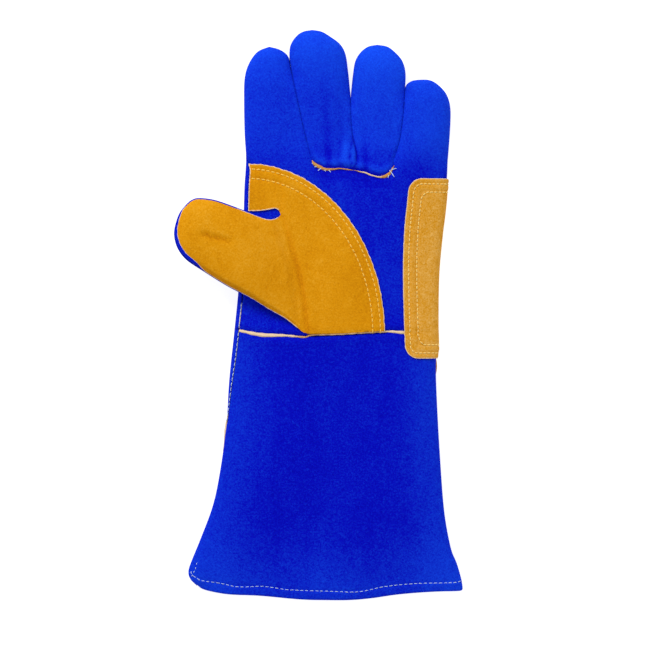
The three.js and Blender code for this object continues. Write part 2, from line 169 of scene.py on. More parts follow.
HEM_ROW = Curve([(-90.3, -179.2), (-89.4, -181.8), (-86.8, -184), (-82.5, -186.2), (-74.6, -187.1),
                 (-67, -188.3), (-59, -190.3), (-49, -190.4), (-40.2, -189.9), (-31, -191.1), (-21.4, -192.5), (6, -193.4),
                 (22.8, -194), (34, -192.8), (41.7, -190.8), (52.9, -189.2), (68.3, -188.1), (93.2, -187.7),
                 (99.4, -186.4)])
CORNER_ROW = Curve([(-85.8, -173), (-86.8, -177.5), (-88.6, -181.2), (-89.8, -184)])
WRIST_SEAM = Curve([(-64, -9.2), (-52, -11.8), (-40, -14), (-24, -14.4), (-10, -15.5), (-5, -13.9),
                    (14, -13.3), (45.5, -11.6), (59.3, -12.3), (86, -13)])
FINGER_WELT = Curve([(-5.4, 108.5), (-3, 105.3), (1, 103.2), (5.5, 101.8), (14.2, 102.5), (22, 101.7),
                     (30.5, 99.9), (37.4, 97.6), (43.2, 96.6), (47.8, 98), (50.6, 101), (51.6, 104.5)])

# The fingers' borders at their roots, and the creases where neighbours meet, from the palm up to the clefts
ROOT_X = np.array([LEFT_EDGE.x_at(FINGER_ROOT_Y), -5.2, 26, 51.7, 90.0])
CREASES = [
    [(-5.2, 108), (-10.6, 129), (-16.1, 154), (-20.3, 174)],
    [(26, 108), (26, 113.5), (23.2, 126), (22.1, 140), (21.9, 152.5)],
    [(51.7, 108), (55.9, 121), (58.7, 140)],
]
CREASE_CURVES = [Curve(points) for points in CREASES]
CREASE_TOPS = (172.0, 155.0, 154.0)
OUTER_LOBE = Curve([(23.4, 103), (26, 107), (26.2, 112), (23.2, 126), (22.7, 134)])
INNER_LOBE = Curve([(21.4, 103), (22.2, 107), (21.4, 112), (21.8, 117.3), (22.9, 126), (22.7, 134)])
TIPS = {"index": (-35.4, 188.4), "middle": (-5, 200.2), "ring": (40.7, 189.8), "little": (70.5, 165.3)}
FINGER_EDGES = {
    "index": (Curve([(ROOT_X[0], 108), (-51.7, 114), (-52.6, 128), (-53, 150), (-52.6, 166), (-49.6, 176.5),
                     (-43.6, 184.8), TIPS["index"]]),
              Curve(CREASES[0] + [(-21.5, 180.6), (-24.4, 184.2), (-29, 186.8), TIPS["index"]])),
    "middle": (Curve(CREASES[0] + [(-21.2, 182), (-20.4, 189.4), (-16.5, 195.6), (-11.5, 199),
                                   TIPS["middle"]]),
               Curve(CREASES[1] + [(21.2, 160), (20.2, 170), (18.3, 183), (14.4, 190.3), (7.4, 195.6),
                                   (1.5, 199), TIPS["middle"]])),
    "ring": (Curve(CREASES[1] + [(22.5, 160), (23.5, 169), (25, 178), (28.6, 184.2), (34, 188.4),
                                 TIPS["ring"]]),
             Curve(CREASES[2] + [(60.2, 160), (60.3, 171), (58, 178.7), (53.4, 184.2), (47.8, 188.4),
                                 TIPS["ring"]])),
    "little": (Curve(CREASES[2] + [(59.6, 155), (60.8, 161.3), (65, 164.4), TIPS["little"]]),
               Curve([(90, 108), (91, 120), (91.9, 134), (92, 144), (90.8, 151), (88, 156.8), (82.4, 162.4),
                      (77, 165), TIPS["little"]])),
}

THUMB_POLE = (-92.2, 76.9)
THUMB_UPPER = Curve([(-27.6, 71.4), (-29.8, 68.4), (-33.6, 66.6), (-39, 67), (-49.6, 71), (-63.4, 76.2),
                     (-74, 79.6), (-84, 80.8), (-88.7, 79.6), THUMB_POLE])
THUMB_LOWER = Curve([(-9, -12.6), (-12.5, -12.2), (-17.4, -8), (-24.9, -1.9), (-36.3, 4.9), (-47, 11.8),
                     (-64.6, 21.1), (-81.4, 31.6), (-91.5, 38.1), (-96.6, 43.8), (-99.6, 50), (-100.7, 57),
                     (-99.5, 64), (-96.8, 71), THUMB_POLE])
FOLD = Curve([(-27.6, 71.4), (-21.1, 50.4), (-15.1, 30.1), (-11.3, 7.2), (-9, -12.6)])

PATCH_INNER = Curve([(-9, -12.6), (-11.3, 7.2), (-15.1, 30.1), (-21.1, 50.4), (-27.2, 70), (-28.4, 73.3),
                     (-31, 74.8), (-35, 74.2), (-42, 73.2), (-51, 73.1)])
HEEL_SIDE = Curve([(63.6, 97), (62.4, 86), (61.7, 79), (59.9, 62), (58.9, 40), (58.9, 20), (59.1, 10),
                   (59.8, -15), (60.4, -25), (61, -32)])


def smooth(low, high, value):
    u = np.clip((value - low) / (high - low), 0, 1)
    return u * u * (3 - 2 * u)


def bump(value, centre, width):
    return np.exp(-(((value - centre) / width) ** 2))


def oval(t, power):
    """Height of a superellipse of unit half width and height."""
    return (1 - np.minimum(1, np.abs(t)) ** power) ** (1 / power)


def mix(a, b, u):
    return a + (b - a) * u


def with_z(xy, z):
    return np.concatenate([xy, z[..., None]], -1)


# ---------------------------------------------------------------- the glove's surface

def seam_inset(y):
    """How far the thumb-side seam sits inside the outline, where the back panel wraps round."""
    return 3.2 * smooth(-88, -22, y) * (1 - smooth(100, 113, y))


def front_inset(y):
    """How far inside the outline the front panels begin, which leaves a slot for the seam."""
    inset = seam_inset(y)
    return inset + SEAM_SLOT * (inset > 0.3)


def no_inset(y):
    return 0.0


def across(x, y):
    left, right = LEFT_EDGE.x_at(y), RIGHT_EDGE.x_at(y)
    return (2 * x - left - right) / (right - left)


def across_finger(x):
    """Where x lies across its own finger's share of the hand, -1 to 1."""
    root = np.clip(np.searchsorted(ROOT_X[1:-1], x), 0, 3)
    low, high = ROOT_X[root], ROOT_X[root + 1]
    return (2 * x - low - high) / (high - low)


def trunk_bulge(y):
    return mix(MOUTH_FRONT, HAND_FRONT, smooth(-200, -60, y))


def broad_waves(x, y):
    """Slow swells of a stuffed glove."""
    return (0.55 * np.sin(x / 21 + 1.1 * np.sin(y / 47)) * np.sin(y / 38 + 0.6)
            + 0.35 * np.sin(x / 12.5 - y / 31 + 0.8) + 0.25 * np.sin(x / 34 + y / 17 + 2.2))


def gathers(x, y):
    """Folds in the middle and ring finger fronts, where they are drawn into the finger-base seam."""
    above = y - FINGER_WELT.y_at(x)
    inside = smooth(-6, -1, x) * (1 - smooth(49, 54, x))
    seam = -2.2 * bump(above, 0, 1.5) + 1.3 * bump(above, 4.4, 3.2) - 0.35 * bump(above, -5, 3)
    folds = 0
    for place, depth, width, reach, lean in GATHERS:
        folds = folds - depth * bump(x + lean * above, place, width) * np.exp(-np.maximum(above, 0) / reach)
    folds = folds * smooth(-0.5, 3, above)
    lobes = (2.2 * bump(x, 18.6, 2.6) + 1.8 * bump(x, 24.0, 1.5)) * bump(y, 110.5, 8.5)
    return inside * (seam + folds + lobes * smooth(0, 2.5, above))


def seam_ditch(x, y):
    """The sunk line of the wrist seam, with the leather puckered a little on both sides."""
    off = y - WRIST_SEAM.y_at(x)
    pucker = 0.22 * np.sin(x * 0.62 + 0.8 * np.sin(x * 0.17)) * bump(off, 0, 6)
    return -1.5 * bump(off, 0, 1.5) + 0.5 * bump(np.abs(off), 4.5, 2.8) + pucker


def hem_relief(x, y):
    up = y - HEM.y_at(x)
    pucker = 0.16 * np.sin(x * 0.8 + np.sin(x * 0.23)) * bump(up, HEM_ROW_UP, 5)
    return 0.35 * (1 - smooth(5.2, 6.6, up)) - 0.4 * bump(up, HEM_ROW_UP, 0.9) + pucker


def pressed_side(x, y, tau):
    """How much of its height a finger keeps where it is squeezed against its neighbour."""
    kept = 0
    for line, top in zip(CREASE_CURVES, CREASE_TOPS):
        near = bump(x - line.x_at(np.clip(y, FINGER_ROOT_Y, top)), 0, 6)
        kept = np.maximum(kept, 0.62 * near * (1 - smooth(top - 16, top + 4, y)))
    return kept * (np.abs(tau) > 0.5)


def front_height(x, y, tau=None, fullness=1.0):
    """Palm-side outer surface. tau runs -1 to 1 across one finger; fullness falls to 0 at its tip."""
    tau = across_finger(x) if tau is None else tau
    share = smooth(CREASE_START_Y, CREASE_FULL_Y, y)
    trunk_oval = oval(across(x, y), 2.7)
    trunk = SEAM_Z + SEAM_GAP + (trunk_bulge(y) - SEAM_GAP) * trunk_oval
    kept = pressed_side(x, y, tau)
    finger_oval = kept + (1 - kept) * oval(tau, 2.2)
    finger = SEAM_Z + SEAM_GAP + (FINGER_FRONT - SEAM_GAP) * fullness * finger_oval
    valley = -2.6 * smooth(100, 108, y) * (1 - share) * bump(np.abs(tau), 1, 0.13)
    relief = broad_waves(x, y) + gathers(x, y) + seam_ditch(x, y) + hem_relief(x, y)
    room = np.minimum(1, 1.6 * mix(trunk_oval, finger_oval * fullness, share))
    return mix(trunk, finger, share) + valley * (np.abs(across(x, y)) < 0.97) + relief * room


def back_trunk_height(x, y):
    """The back of hand and cuff before it is pressed flat."""
    return SEAM_Z - (HAND_BACK - SEAM_GAP) * oval(across(x, y), 3.2)


def back_height(x, y, tau=None, fullness=1.0):
    """Back-side outer surface, pressed flat where it lies on the floor."""
    tau = across_finger(x) if tau is None else tau
    share = smooth(CREASE_START_Y, CREASE_FULL_Y, y)
    trunk = back_trunk_height(x, y) - SEAM_GAP
    finger = SEAM_Z - SEAM_GAP - (FINGER_BACK - SEAM_GAP) * fullness * oval(tau, 2.6)
    ditch = 1.3 * bump(y - WRIST_SEAM.y_at(x), 0, 1.4)
    valley = 2.4 * smooth(100, 108, y) * (1 - share) * bump(np.abs(tau), 1, 0.13)
    height = mix(trunk, finger, share) + 0.5 * broad_waves(x + 40, y - 25) + valley
    under_patch = smooth(27.5, 24.5, RIGHT_EDGE.x_at(y) - x) * smooth(-34, -30.5, y) * smooth(99, 95.7, y)
    rest = 0.25 + (LEATHER + PATCH_LIFT) * under_patch
    pressed = rest + np.logaddexp(0, (height - rest) * 2.2) / 2.2
    return np.minimum(pressed + ditch, SEAM_Z - SEAM_GAP)


# ---------------------------------------------------------------- meshes

def add_mesh(name, points, faces, material, sharp=None):
    """Builds an object from points in millimetres, and keeps their rest positions for the materials."""
    mesh = bpy.data.meshes.new(name)
    mesh.from_pydata((points * MM).tolist(), [], faces)
    mesh.update()
    mesh.polygons.foreach_set("use_smooth", [True] * len(mesh.polygons))
    flip_if_inside_out(mesh)
    if sharp is not None:
        mark_sharp(mesh, sharp)
    rest = mesh.attributes.new("rest", "FLOAT_VECTOR", "POINT")
    rest.data.foreach_set("vector", (points * MM).astype(np.float32).ravel())
    mesh.materials.append(material)
    obj = bpy.data.objects.new(name, mesh)
    bpy.context.scene.collection.objects.link(obj)
    return obj


def add_joined(name, points, faces, material, sharp=None):
    """Like add_mesh, but joins points that coincide, and drops the faces that this empties."""
    _, first, where = np.unique(np.round(points, 4), axis=0, return_index=True, return_inverse=True)
    where = where.ravel()
    clean = []
    for face in faces:
        loop = []
        for i in where[np.asarray(face)]:
            if not loop or loop[-1] != i:
                loop.append(int(i))
        if len(loop) > 1 and loop[0] == loop[-1]:
            loop.pop()
        if len(set(loop)) == len(loop) and len(loop) > 2:
            clean.append(loop)
    if sharp is not None:
        sharp = np.sort(where[sharp], axis=1)
    return add_mesh(name, points[first], clean, material, sharp)


def flip_if_inside_out(mesh):
    mesh.calc_loop_triangles()
    co = np.array([v.co for v in mesh.vertices])
    tri = np.array([t.vertices for t in mesh.loop_triangles])
    volume = np.einsum("ij,ij->i", co[tri[:, 0]], np.cross(co[tri[:, 1]], co[tri[:, 2]])).sum()
    if volume < 0:
        mesh.flip_normals()


def mark_sharp(mesh, pairs):
    count = len(mesh.vertices)
    wanted = pairs[:, 0].astype(np.int64) * count + pairs[:, 1]
    edges = np.sort(np.array([e.vertices for e in mesh.edges], np.int64), axis=1)
    flags = np.isin(edges[:, 0] * count + edges[:, 1], wanted)
    mesh.attributes.new("sharp_edge", "BOOLEAN", "EDGE").data.foreach_set("value", flags)


def grid_normals(points, towards):
    """Unit normals of a grid of points, turned to face the given direction on the whole."""
    n = np.cross(np.gradient(points, axis=0), np.gradient(points, axis=1))
    size = np.linalg.norm(n, axis=2, keepdims=True)
    if (n @ np.array(towards, float)).sum() < 0:
        n = -n
    n = n / np.maximum(size, 1e-9)
    for i in range(len(points)):
        if size[i].max() < 1e-3:
            n[i] = n[i - 1].mean(axis=0) / np.linalg.norm(n[i - 1].mean(axis=0))
    return n


def two_sheets(rows, columns):
    """Point numbers of two facing grids, and their quads, the second grid's turned over."""
    index = np.arange(rows * columns).reshape(rows, columns)
    under = index + rows * columns
    quads = [np.stack([index[:-1, :-1], index[:-1, 1:], index[1:, 1:], index[1:, :-1]], -1).reshape(-1, 4),
             np.stack([under[:-1, :-1], under[1:, :-1], under[1:, 1:], under[:-1, 1:]], -1).reshape(-1, 4)]
    return index, under, quads


def panel(name, outer, material, towards, thick=LEATHER, cuts=(), inner=None):
    """A sheet of leather with thickness, from the grid of its outer surface. cuts are the borders of the
    grid at which a neighbouring sheet carries on, which are kept sharp so that no line shows there."""
    rows, columns = outer.shape[:2]
    if inner is None:
        inner = outer - grid_normals(outer, towards) * thick
        width = np.linalg.norm(outer[:, -1] - outer[:, 0], axis=1)
        narrow = np.nonzero(width < 2.6 * thick)[0]
        if len(narrow):
            inner[narrow] = inner[narrow[0]].mean(axis=0)
    index, _, quads = two_sheets(rows, columns)
    borders = {"first_row": index[0], "last_column": index[:, -1], "last_row": index[-1][::-1],
               "first_column": index[:, 0][::-1]}
    sharp = []
    for key, line in borders.items():
        below = line + rows * columns
        quads.append(np.stack([line[1:], line[:-1], below[:-1], below[1:]], -1))
        if key in cuts:
            sharp += [np.stack([line[1:], line[:-1]], -1), np.stack([below[1:], below[:-1]], -1)]
    points = np.concatenate([outer.reshape(-1, 3), inner.reshape(-1, 3)])
    return add_joined(name, points, np.concatenate(quads), material, np.concatenate(sharp) if sharp else None)


def sleeve(name, outer, inner):
    """A closed fleece wall between two stacks of rings."""
    outer, inner = (np.concatenate([rings, rings[:, :1]], axis=1) for rings in (outer, inner))
    index, under, quads = two_sheets(*outer.shape[:2])
    quads += [np.stack([index[0, 1:], index[0, :-1], under[0, :-1], under[0, 1:]], -1),
              np.stack([index[-1, :-1], index[-1, 1:], under[-1, 1:], under[-1, :-1]], -1)]
    points = np.concatenate([outer.reshape(-1, 3), inner.reshape(-1, 3)])
    return add_joined(name, points, np.concatenate(quads), FLEECE)


def tube_parts(points, radii, up, sides=8, flat=1.0, offset=0):
    """Points and faces of a closed round tube along a line, its radius given at each point."""
    tangent = np.gradient(points, axis=0)
    tangent /= np.maximum(np.linalg.norm(tangent, axis=1, keepdims=True), 1e-9)
    lift = up - (up * tangent).sum(1, keepdims=True) * tangent
    lift /= np.maximum(np.linalg.norm(lift, axis=1, keepdims=True), 1e-9)
    side = np.cross(tangent, lift)
    angle = np.arange(sides) * 2 * math.pi / sides
    ring = np.cos(angle)[None, :, None] * side[:, None] + flat * np.sin(angle)[None, :, None] * lift[:, None]
    body = points[:, None] + ring * radii[:, None, None]
    count = len(points)
    index = np.arange(count * sides).reshape(count, sides) + offset
    turned = np.roll(index, -1, axis=1)
    quads = np.stack([index[:-1], turned[:-1], turned[1:], index[1:]], -1).reshape(-1, 4).tolist()
    return body.reshape(-1, 3), quads + [index[0][::-1].tolist(), index[-1].tolist()]


def tube(name, points, radii, up, sides=8, flat=1.0):
    """A strip of cut leather along a line."""
    up = np.broadcast_to(up, points.shape).astype(float)
    return add_joined(name, *tube_parts(points, radii, up, sides, flat), TAN)


def stitches(name, line, normals, material, pitch=STITCH_PITCH, length=STITCH_LENGTH, radius=STITCH_RADIUS,
             askew=0.12):
    """A row of single stitches along a line on a surface, each arching out of it and diving back in."""
    travelled = np.concatenate([[0], np.cumsum(np.linalg.norm(np.diff(line, axis=0), axis=1))])
    count = max(1, int(travelled[-1] / pitch))
    step = np.linspace(-1, 1, 7)
    taper = np.array([0.55, 0.9, 1, 1, 1, 0.9, 0.55])
    points, faces = [], []
    offset = 0
    for i in range(count):
        middle = (i + 0.5) * travelled[-1] / count + rng.normal(0, 0.08)
        half = 0.5 * length * (1 + rng.normal(0, 0.05))
        where = middle + half * step
        along = np.stack([np.interp(where, travelled, line[:, k]) for k in range(3)], -1)
        up = np.stack([np.interp(where, travelled, normals[:, k]) for k in range(3)], -1)
        rise = 0.28 - 0.75 * step**4
        skew = np.cross(np.gradient(along, axis=0), up) * (rng.normal(0, askew) * step)[:, None]
        body, quads = tube_parts(along + up * rise[:, None] + skew, radius * taper, up, 6, 0.8, offset)
        points.append(body)
        faces += quads
        offset += len(body)
    return add_mesh(name, np.concatenate(points), faces, material)


def lie_on(surface, xy, lift=0.0):
    """Points over a surface z(x, y) at the given plane points, and the surface's normals there."""
    x, y = xy[..., 0], xy[..., 1]
    step = 0.4
    slope_x = (surface(x + step, y) - surface(x - step, y)) / (2 * step)
    slope_y = (surface(x, y + step) - surface(x, y - step)) / (2 * step)
    n = np.stack([-slope_x, -slope_y, np.ones_like(slope_x)], -1)
    n /= np.linalg.norm(n, axis=-1, keepdims=True)
    return with_z(xy, surface(x, y)) + n * np.asarray(lift)[..., None], n


def dress(piece, slot, attach, *nodes):
    """Hides the CAD nodes that a piece stands for, and hands the piece to attach; slot, its finish, is not
    used.
    """
    if nodes:
        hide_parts(*nodes)
    attach(piece)


# ---------------------------------------------------------------- materials

class Look:
    """A material being built from nodes, which follow the rest position of each point."""

    def __init__(self, name, roughness, specular):
        self.material = bpy.data.materials.new(name)
        self.material.use_nodes = True
        self.tree = self.material.node_tree
        self.tree.nodes.clear()
        self.shader = self.add("BsdfPrincipled", {"Roughness": roughness, "Specular IOR Level": specular})
        self.add("OutputMaterial", {"Surface": self.shader.outputs["BSDF"]})
        self.place = self.add("Attribute", attribute_name="rest").outputs["Vector"]

    def add(self, kind, inputs=None, **settings):
        """A node with its settings; each input is given a value, or linked to another node's output."""
        node = self.tree.nodes.new("ShaderNode" + kind)
        for key, value in settings.items():
            setattr(node, key, value)
        for key, value in (inputs or {}).items():
            if isinstance(value, bpy.types.NodeSocket):
                self.tree.links.new(value, node.inputs[key])
            else:
                node.inputs[key].default_value = value
        return node

    def noise(self, place, scale, detail=3.0, roughness=0.55, distortion=0.0):
        node = self.add("TexNoise", {"Vector": place, "Scale": scale, "Detail": detail,
                                     "Roughness": roughness, "Distortion": distortion})
        return node.outputs["Fac"]

    def ramp(self, value, stops):
        node = self.add("ValToRGB", {"Fac": value})
        elements = node.color_ramp.elements
        while len(elements) < len(stops):
            elements.new(0.5)
        for element, (position, colour) in zip(elements, stops):
            element.position = position
            element.color = (*colour, 1)
        return node.outputs["Color"]

    def complete(self, colour, layers):
        """Links the colour and a chain of bumps; each layer is (height, strength, distance in metres)."""
        self.tree.links.new(colour, self.shader.inputs["Base Color"])
        normal = {}
        for height, strength, distance in layers:
            node = self.add("Bump", {"Height": height, "Strength": strength, "Distance": distance, **normal})
            normal = {"Normal": node.outputs["Normal"]}
        self.tree.links.new(normal["Normal"], self.shader.inputs["Normal"])
        return self.material


def suede(name, dark, base, light, sheen_tint, amounts, sheen=0.1):
    """Split leather: brushed nap in soft patches, fine fibres, and a velvety edge. The tone attribute
    shifts the colour towards light above 0 and towards dark below it; amounts are the strengths of the
    four scales of variation, from the broadest to the finest."""
    look = Look(name, 0.95, 0.04)
    brushed = look.add("Mapping", {"Vector": look.place, "Scale": (1, 0.45, 1)})
    patches = look.noise(brushed.outputs["Vector"], 42, 4, 0.6, 0.6)
    mottle = look.noise(look.place, 170, 3, 0.6, 0.4)
    fibre = look.noise(look.place, 800, 3, 0.7, 0.3)
    speck = look.noise(look.place, 2100, 2, 0.7)
    shade = look.add("Attribute", attribute_name="tone").outputs["Fac"]
    for value, amount in zip((patches, mottle, fibre, speck), amounts):
        centred = look.add("Math", {0: value, 1: 0.5}, operation="SUBTRACT").outputs[0]
        shade = look.add("Math", {0: centred, 1: amount, 2: shade}, operation="MULTIPLY_ADD").outputs[0]
    spread = look.add("MapRange", {"Value": shade, "From Min": -1, "From Max": 1})
    colour = look.ramp(spread.outputs["Result"], [(0, dark), (0.5, base), (1, light)])
    look.shader.inputs["Sheen Weight"].default_value = sheen
    look.shader.inputs["Sheen Roughness"].default_value = 0.4
    look.shader.inputs["Sheen Tint"].default_value = (*sheen_tint, 1)
    return look.complete(colour, [(mottle, 0.25, 0.0008), (fibre, 0.6, 0.0005), (speck, 0.4, 0.0002)])


def raw_edge(name, deep, light, pale):
    """Cut leather fibre, as on a welt; the tone attribute turns it paler."""
    look = Look(name, 0.9, 0.15)
    fibre = look.noise(look.place, 1100, 4, 0.7, 0.5)
    tone = look.add("Attribute", attribute_name="tone").outputs["Fac"]
    colour = look.ramp(fibre, [(0.35, deep), (0.65, light)])
    blend = look.add("Mix", {0: tone, 6: colour, 7: (*pale, 1)}, data_type="RGBA")
    return look.complete(blend.outputs[2], [(fibre, 0.6, 0.0004)])


def twisted_thread(name, colour, shade):
    look = Look(name, 0.8, 0.2)
    strands = look.add("TexWave", {"Vector": look.place, "Scale": 900, "Distortion": 1.5},
                       bands_direction="DIAGONAL").outputs["Fac"]
    return look.complete(look.ramp(strands, [(0.2, shade), (0.7, colour)]), [(strands, 0.5, 0.0002)])


def fleece(name):
    """Napped cotton lining with small pills."""
    look = Look(name, 1.0, 0.1)
    tufts = look.noise(look.place, 420, 5, 0.7, 1.2)
    fuzz = look.noise(look.place, 1900, 3, 0.8)
    look.shader.inputs["Sheen Weight"].default_value = 0.5
    look.shader.inputs["Sheen Roughness"].default_value = 0.6
    colour = look.ramp(tufts, [(0.3, (0.66, 0.55, 0.40)), (0.6, (0.93, 0.85, 0.70)),
                               (0.8, (0.98, 0.94, 0.86))])
    return look.complete(colour, [(tufts, 1.0, 0.003), (fuzz, 0.5, 0.0005)])


BLUE = suede("blue_suede", (0.0006, 0.0012, 0.17), (0.0016, 0.0026, 0.545), (0.0080, 0.088, 0.92),
             (0.1, 0.3, 1.0), (0.34, 0.22, 1.25, 0.7))
GOLD = suede("gold_suede", (0.42, 0.11, 0.001), (0.73, 0.30, 0.003), (0.92, 0.49, 0.05), (1.0, 0.7, 0.2),
             (0.85, 0.45, 1.5, 0.9), 0.07)
ROUGH_GOLD = suede("rough_gold_suede", (0.34, 0.10, 0.003), (0.70, 0.30, 0.010), (0.90, 0.53, 0.14),
                   (1.0, 0.7, 0.3), (0.7, 0.8, 2.0, 1.3), 0.08)
TAN = raw_edge("tan_welt", (0.46, 0.18, 0.03), (0.80, 0.42, 0.12), (0.92, 0.70, 0.44))
THREAD = twisted_thread("cream_thread", (1.0, 0.66, 0.12), (0.95, 0.54, 0.06))
HEEL_THREAD = twisted_thread("pale_thread", (1.0, 0.74, 0.24), (0.96, 0.65, 0.17))
WHITE_THREAD = twisted_thread("white_thread", (0.70, 0.85, 1.0), (0.42, 0.58, 0.88))
FLEECE = fleece("fleece_lining")


def set_tone(obj, value):
    """Lightens or darkens the colour, -1 to 1, by a number or a function of x, y, z in millimetres; the blue,
    gold and thumb functions also paint shade and highlights into folds and creases.
    """
    co = np.array([v.co for v in obj.data.vertices]) / MM
    levels = value(co[:, 0], co[:, 1], co[:, 2]) if callable(value) else np.full(len(co), value)
    tone = obj.data.attributes.new("tone", "FLOAT", "POINT")
    tone.data.foreach_set("value", np.clip(levels, -1, 1).astype(np.float32))


def painted_cleft_shade(x, y):
    """Painted shade: dark lines between the middle and ring fingers, round the two lobes at their foot."""
    above = y - FINGER_WELT.y_at(x)
    outer = bump(x, OUTER_LOBE.x_at(y), 0.8)
    inner = bump(x, INNER_LOBE.x_at(y), 0.7)
    return np.maximum(outer, inner) * smooth(0.5, 2, above) * smooth(130, 120, y)


def blue_tone_and_shade(x, y, z):
    """The blue is lighter on the fingers, the palm and towards the cuff's edges and hem; painted shade darkens
    the folds, the clefts and the side seams, and painted highlights lighten the ridges between the folds.
    """
    fingers = (0.26 + 0.05 * smooth(-25, -10, x) + 0.12 * smooth(0, 30, x)) * smooth(96, 125, y)
    fingers = fingers + 0.32 * smooth(145, 195, y)
    palm = 0.10 * smooth(-14, 10, y) * (1 - smooth(96, 125, y))
    rim = 0.26 * smooth(0.5, 1.0, np.abs(across(x, np.clip(y, -189, 144)))) * (1 - 0.8 * smooth(-40, 0, y))
    hem = 0.24 * (1 - smooth(-197, -140, y))
    # Painted shade in the fold valleys and the cleft lines, and painted highlights on the ridges and lobes
    # between them.
    folds = 0.34 * np.clip(gathers(x, y), -1.8, 1.1) - 0.55 * painted_cleft_shade(x, y) * (y < 135) * (z > SEAM_Z)
    # Painted shade in a band along the side seams.
    seams = -0.45 * (1 - smooth(0.2, 2.4, np.abs(z - SEAM_Z)))
    return fingers + palm + rim + hem + folds + seams


def fold_strength(y):
    """The fold beside the thumb is sharpest towards the wrist."""
    return 0.45 + 0.55 * smooth(66, 15, y)


def fold_shade(x, y):
    # Painted shade along the fold beside the thumb.
    return -0.38 * bump(x - FOLD.x_at(y), 0.2, 1.6) * fold_strength(y) * smooth(80, 70, y)


def patch_inward(x, y):
    """Distance in from the palm patch's curved border."""
    rel = (np.stack([x, y], -1) - PATCH_CENTRE) / PATCH_RADIUS
    return (1 - np.linalg.norm(rel, axis=-1)) * PATCH_DEPTH


def gold_tone_and_shade(x, y, z):
    """The patch is darker towards its border, and painted shade darkens the fold beside the thumb."""
    return 0.06 * smooth(12, 30, patch_inward(x, y)) - 0.08 + fold_shade(x, y)


def thumb_tone_and_shade(x, y, z):
    # Painted shade on the rolled facet along the lower edge and a painted highlight on the ridge above it, with
    # painted shade in the creases and along the fold.
    inward = above_lower_edge(np.stack([x, y], -1))
    along = smooth(-90, -78, x) * smooth(-8, -18, x)
    roll_shade_and_highlight = -0.22 * (1 - smooth(1.9, 2.7, inward)) + 0.16 * bump(inward, 3.4, 0.7)
    creases = 0.34 * np.minimum(thumb_creases(x, y), 0)
    return 0.03 + along * roll_shade_and_highlight + creases + fold_shade(x, y) * (x > -30)


# ---------------------------------------------------------------- hand and cuff panels

def cosine(count):
    return -np.cos(np.linspace(0, math.pi, count + 1))


def trunk_columns():
    """Where the columns of the hand's grid stand across it at the finger roots, 0 to 1."""
    spans = [mix(low, high, (cosine(COLUMNS) + 1) / 2) for low, high in zip(ROOT_X[:-1], ROOT_X[1:])]
    joined = np.concatenate([spans[0]] + [s[1:] for s in spans[1:]])
    return (joined - ROOT_X[0]) / (ROOT_X[-1] - ROOT_X[0])


AT_ROOT = trunk_columns()
EVEN = (cosine(4 * COLUMNS) + 1) / 2


def trunk_row(v, share, guess, far_y, inset):
    """One plane row, v of the way from the wrist seam to a far line, found in a few rounds from a guess."""
    y = np.full_like(share, guess)
    for _ in range(5):
        left = LEFT_EDGE.x_at(y[0]) + inset(y[0])
        x = mix(left, RIGHT_EDGE.x_at(y[-1]), share)
        y = mix(WRIST_SEAM.y_at(x), far_y(x), v)
    return np.stack([x, y], -1)


def hand_rows(inset):
    """Plane grid of the hand from the wrist seam up to the finger roots."""
    rows = []
    for v in np.linspace(0, 1, 62):
        guess = mix(-10.0, FINGER_ROOT_Y, v)
        share = mix(EVEN, AT_ROOT, smooth(62, 99, guess))
        rows.append(trunk_row(v, share, guess, lambda x: FINGER_ROOT_Y, inset))
    return np.array(rows)


def cuff_rows(inset):
    """Plane grid of the cuff from the wrist seam down to the hem."""
    stations = np.concatenate([np.linspace(0, 0.9, 78), np.linspace(0.9, 1, 26)[1:]])
    return np.array([trunk_row(v, EVEN, mix(-12.0, -192.0, v), HEM.y_at, inset) for v in stations])


def finger_rows(name, inset=no_inset):
    """Plane grid of one finger from its root to its tip, with each row's fullness."""
    left, right = FINGER_EDGES[name]
    f = 1 - (1 - np.linspace(0, 1, 46)) ** 1.45
    a, b = left.at(f), right.at(f)
    a[:, 0] += inset(a[:, 1])
    tau = cosine(COLUMNS)
    xy = a[:, None] + (b - a)[:, None] * ((tau + 1) / 2)[None, :, None]
    width = np.linalg.norm(b - a, axis=1)
    reference = width[np.searchsorted(f, 0.62)]
    fullness = np.minimum(1, mix(1.0, width / reference, smooth(0.5, 0.7, f)))
    return xy, np.broadcast_to(tau, xy.shape[:2]), np.broadcast_to(fullness[:, None], xy.shape[:2])


def raise_grid(xy, height, *fit):
    """Plane points raised on to a surface; fit is their tau and fullness where they lie on a finger."""
    return with_z(xy, height(xy[..., 0], xy[..., 1], *fit))


def thumb_side_strip(edge):
    """The back panel's strip that wraps on to the palm side, outside the seam: 5 columns, seam first."""
    share = np.cos(np.linspace(0, math.pi / 2, 6))[:-1]
    x = edge[:, :1] + np.maximum(seam_inset(edge[:, 1]) - SEAM_SLOT, 0)[:, None] * share[None]
    return np.stack([x, np.broadcast_to(edge[:, 1:2], x.shape)], -1)


def front_trunk(rows):
    """Outer surface of a front panel over plane rows, its edges tucked into the seams."""
    grid = raise_grid(rows, front_height)
    wrapped = seam_inset(rows[:, 0, 1]) > 0.3
    grid[:, 0, 2] = np.where(wrapped, grid[:, 0, 2] - SEAM_TUCK, SEAM_Z + SEAM_GAP)
    grid[:, -1, 2] = SEAM_Z + SEAM_GAP
    return grid


def back_trunk(rows):
    back = raise_grid(rows, back_height)
    back[:, [0, -1], 2] = SEAM_Z - SEAM_GAP
    return np.concatenate([raise_grid(thumb_side_strip(rows[:, 0]), front_height), back], axis=1)


def split_row(rows, level):
    """The last row that lies wholly below a level of y."""
    return int(np.nonzero(rows[..., 1].max(axis=1) <= level + 1e-6)[0][-1])


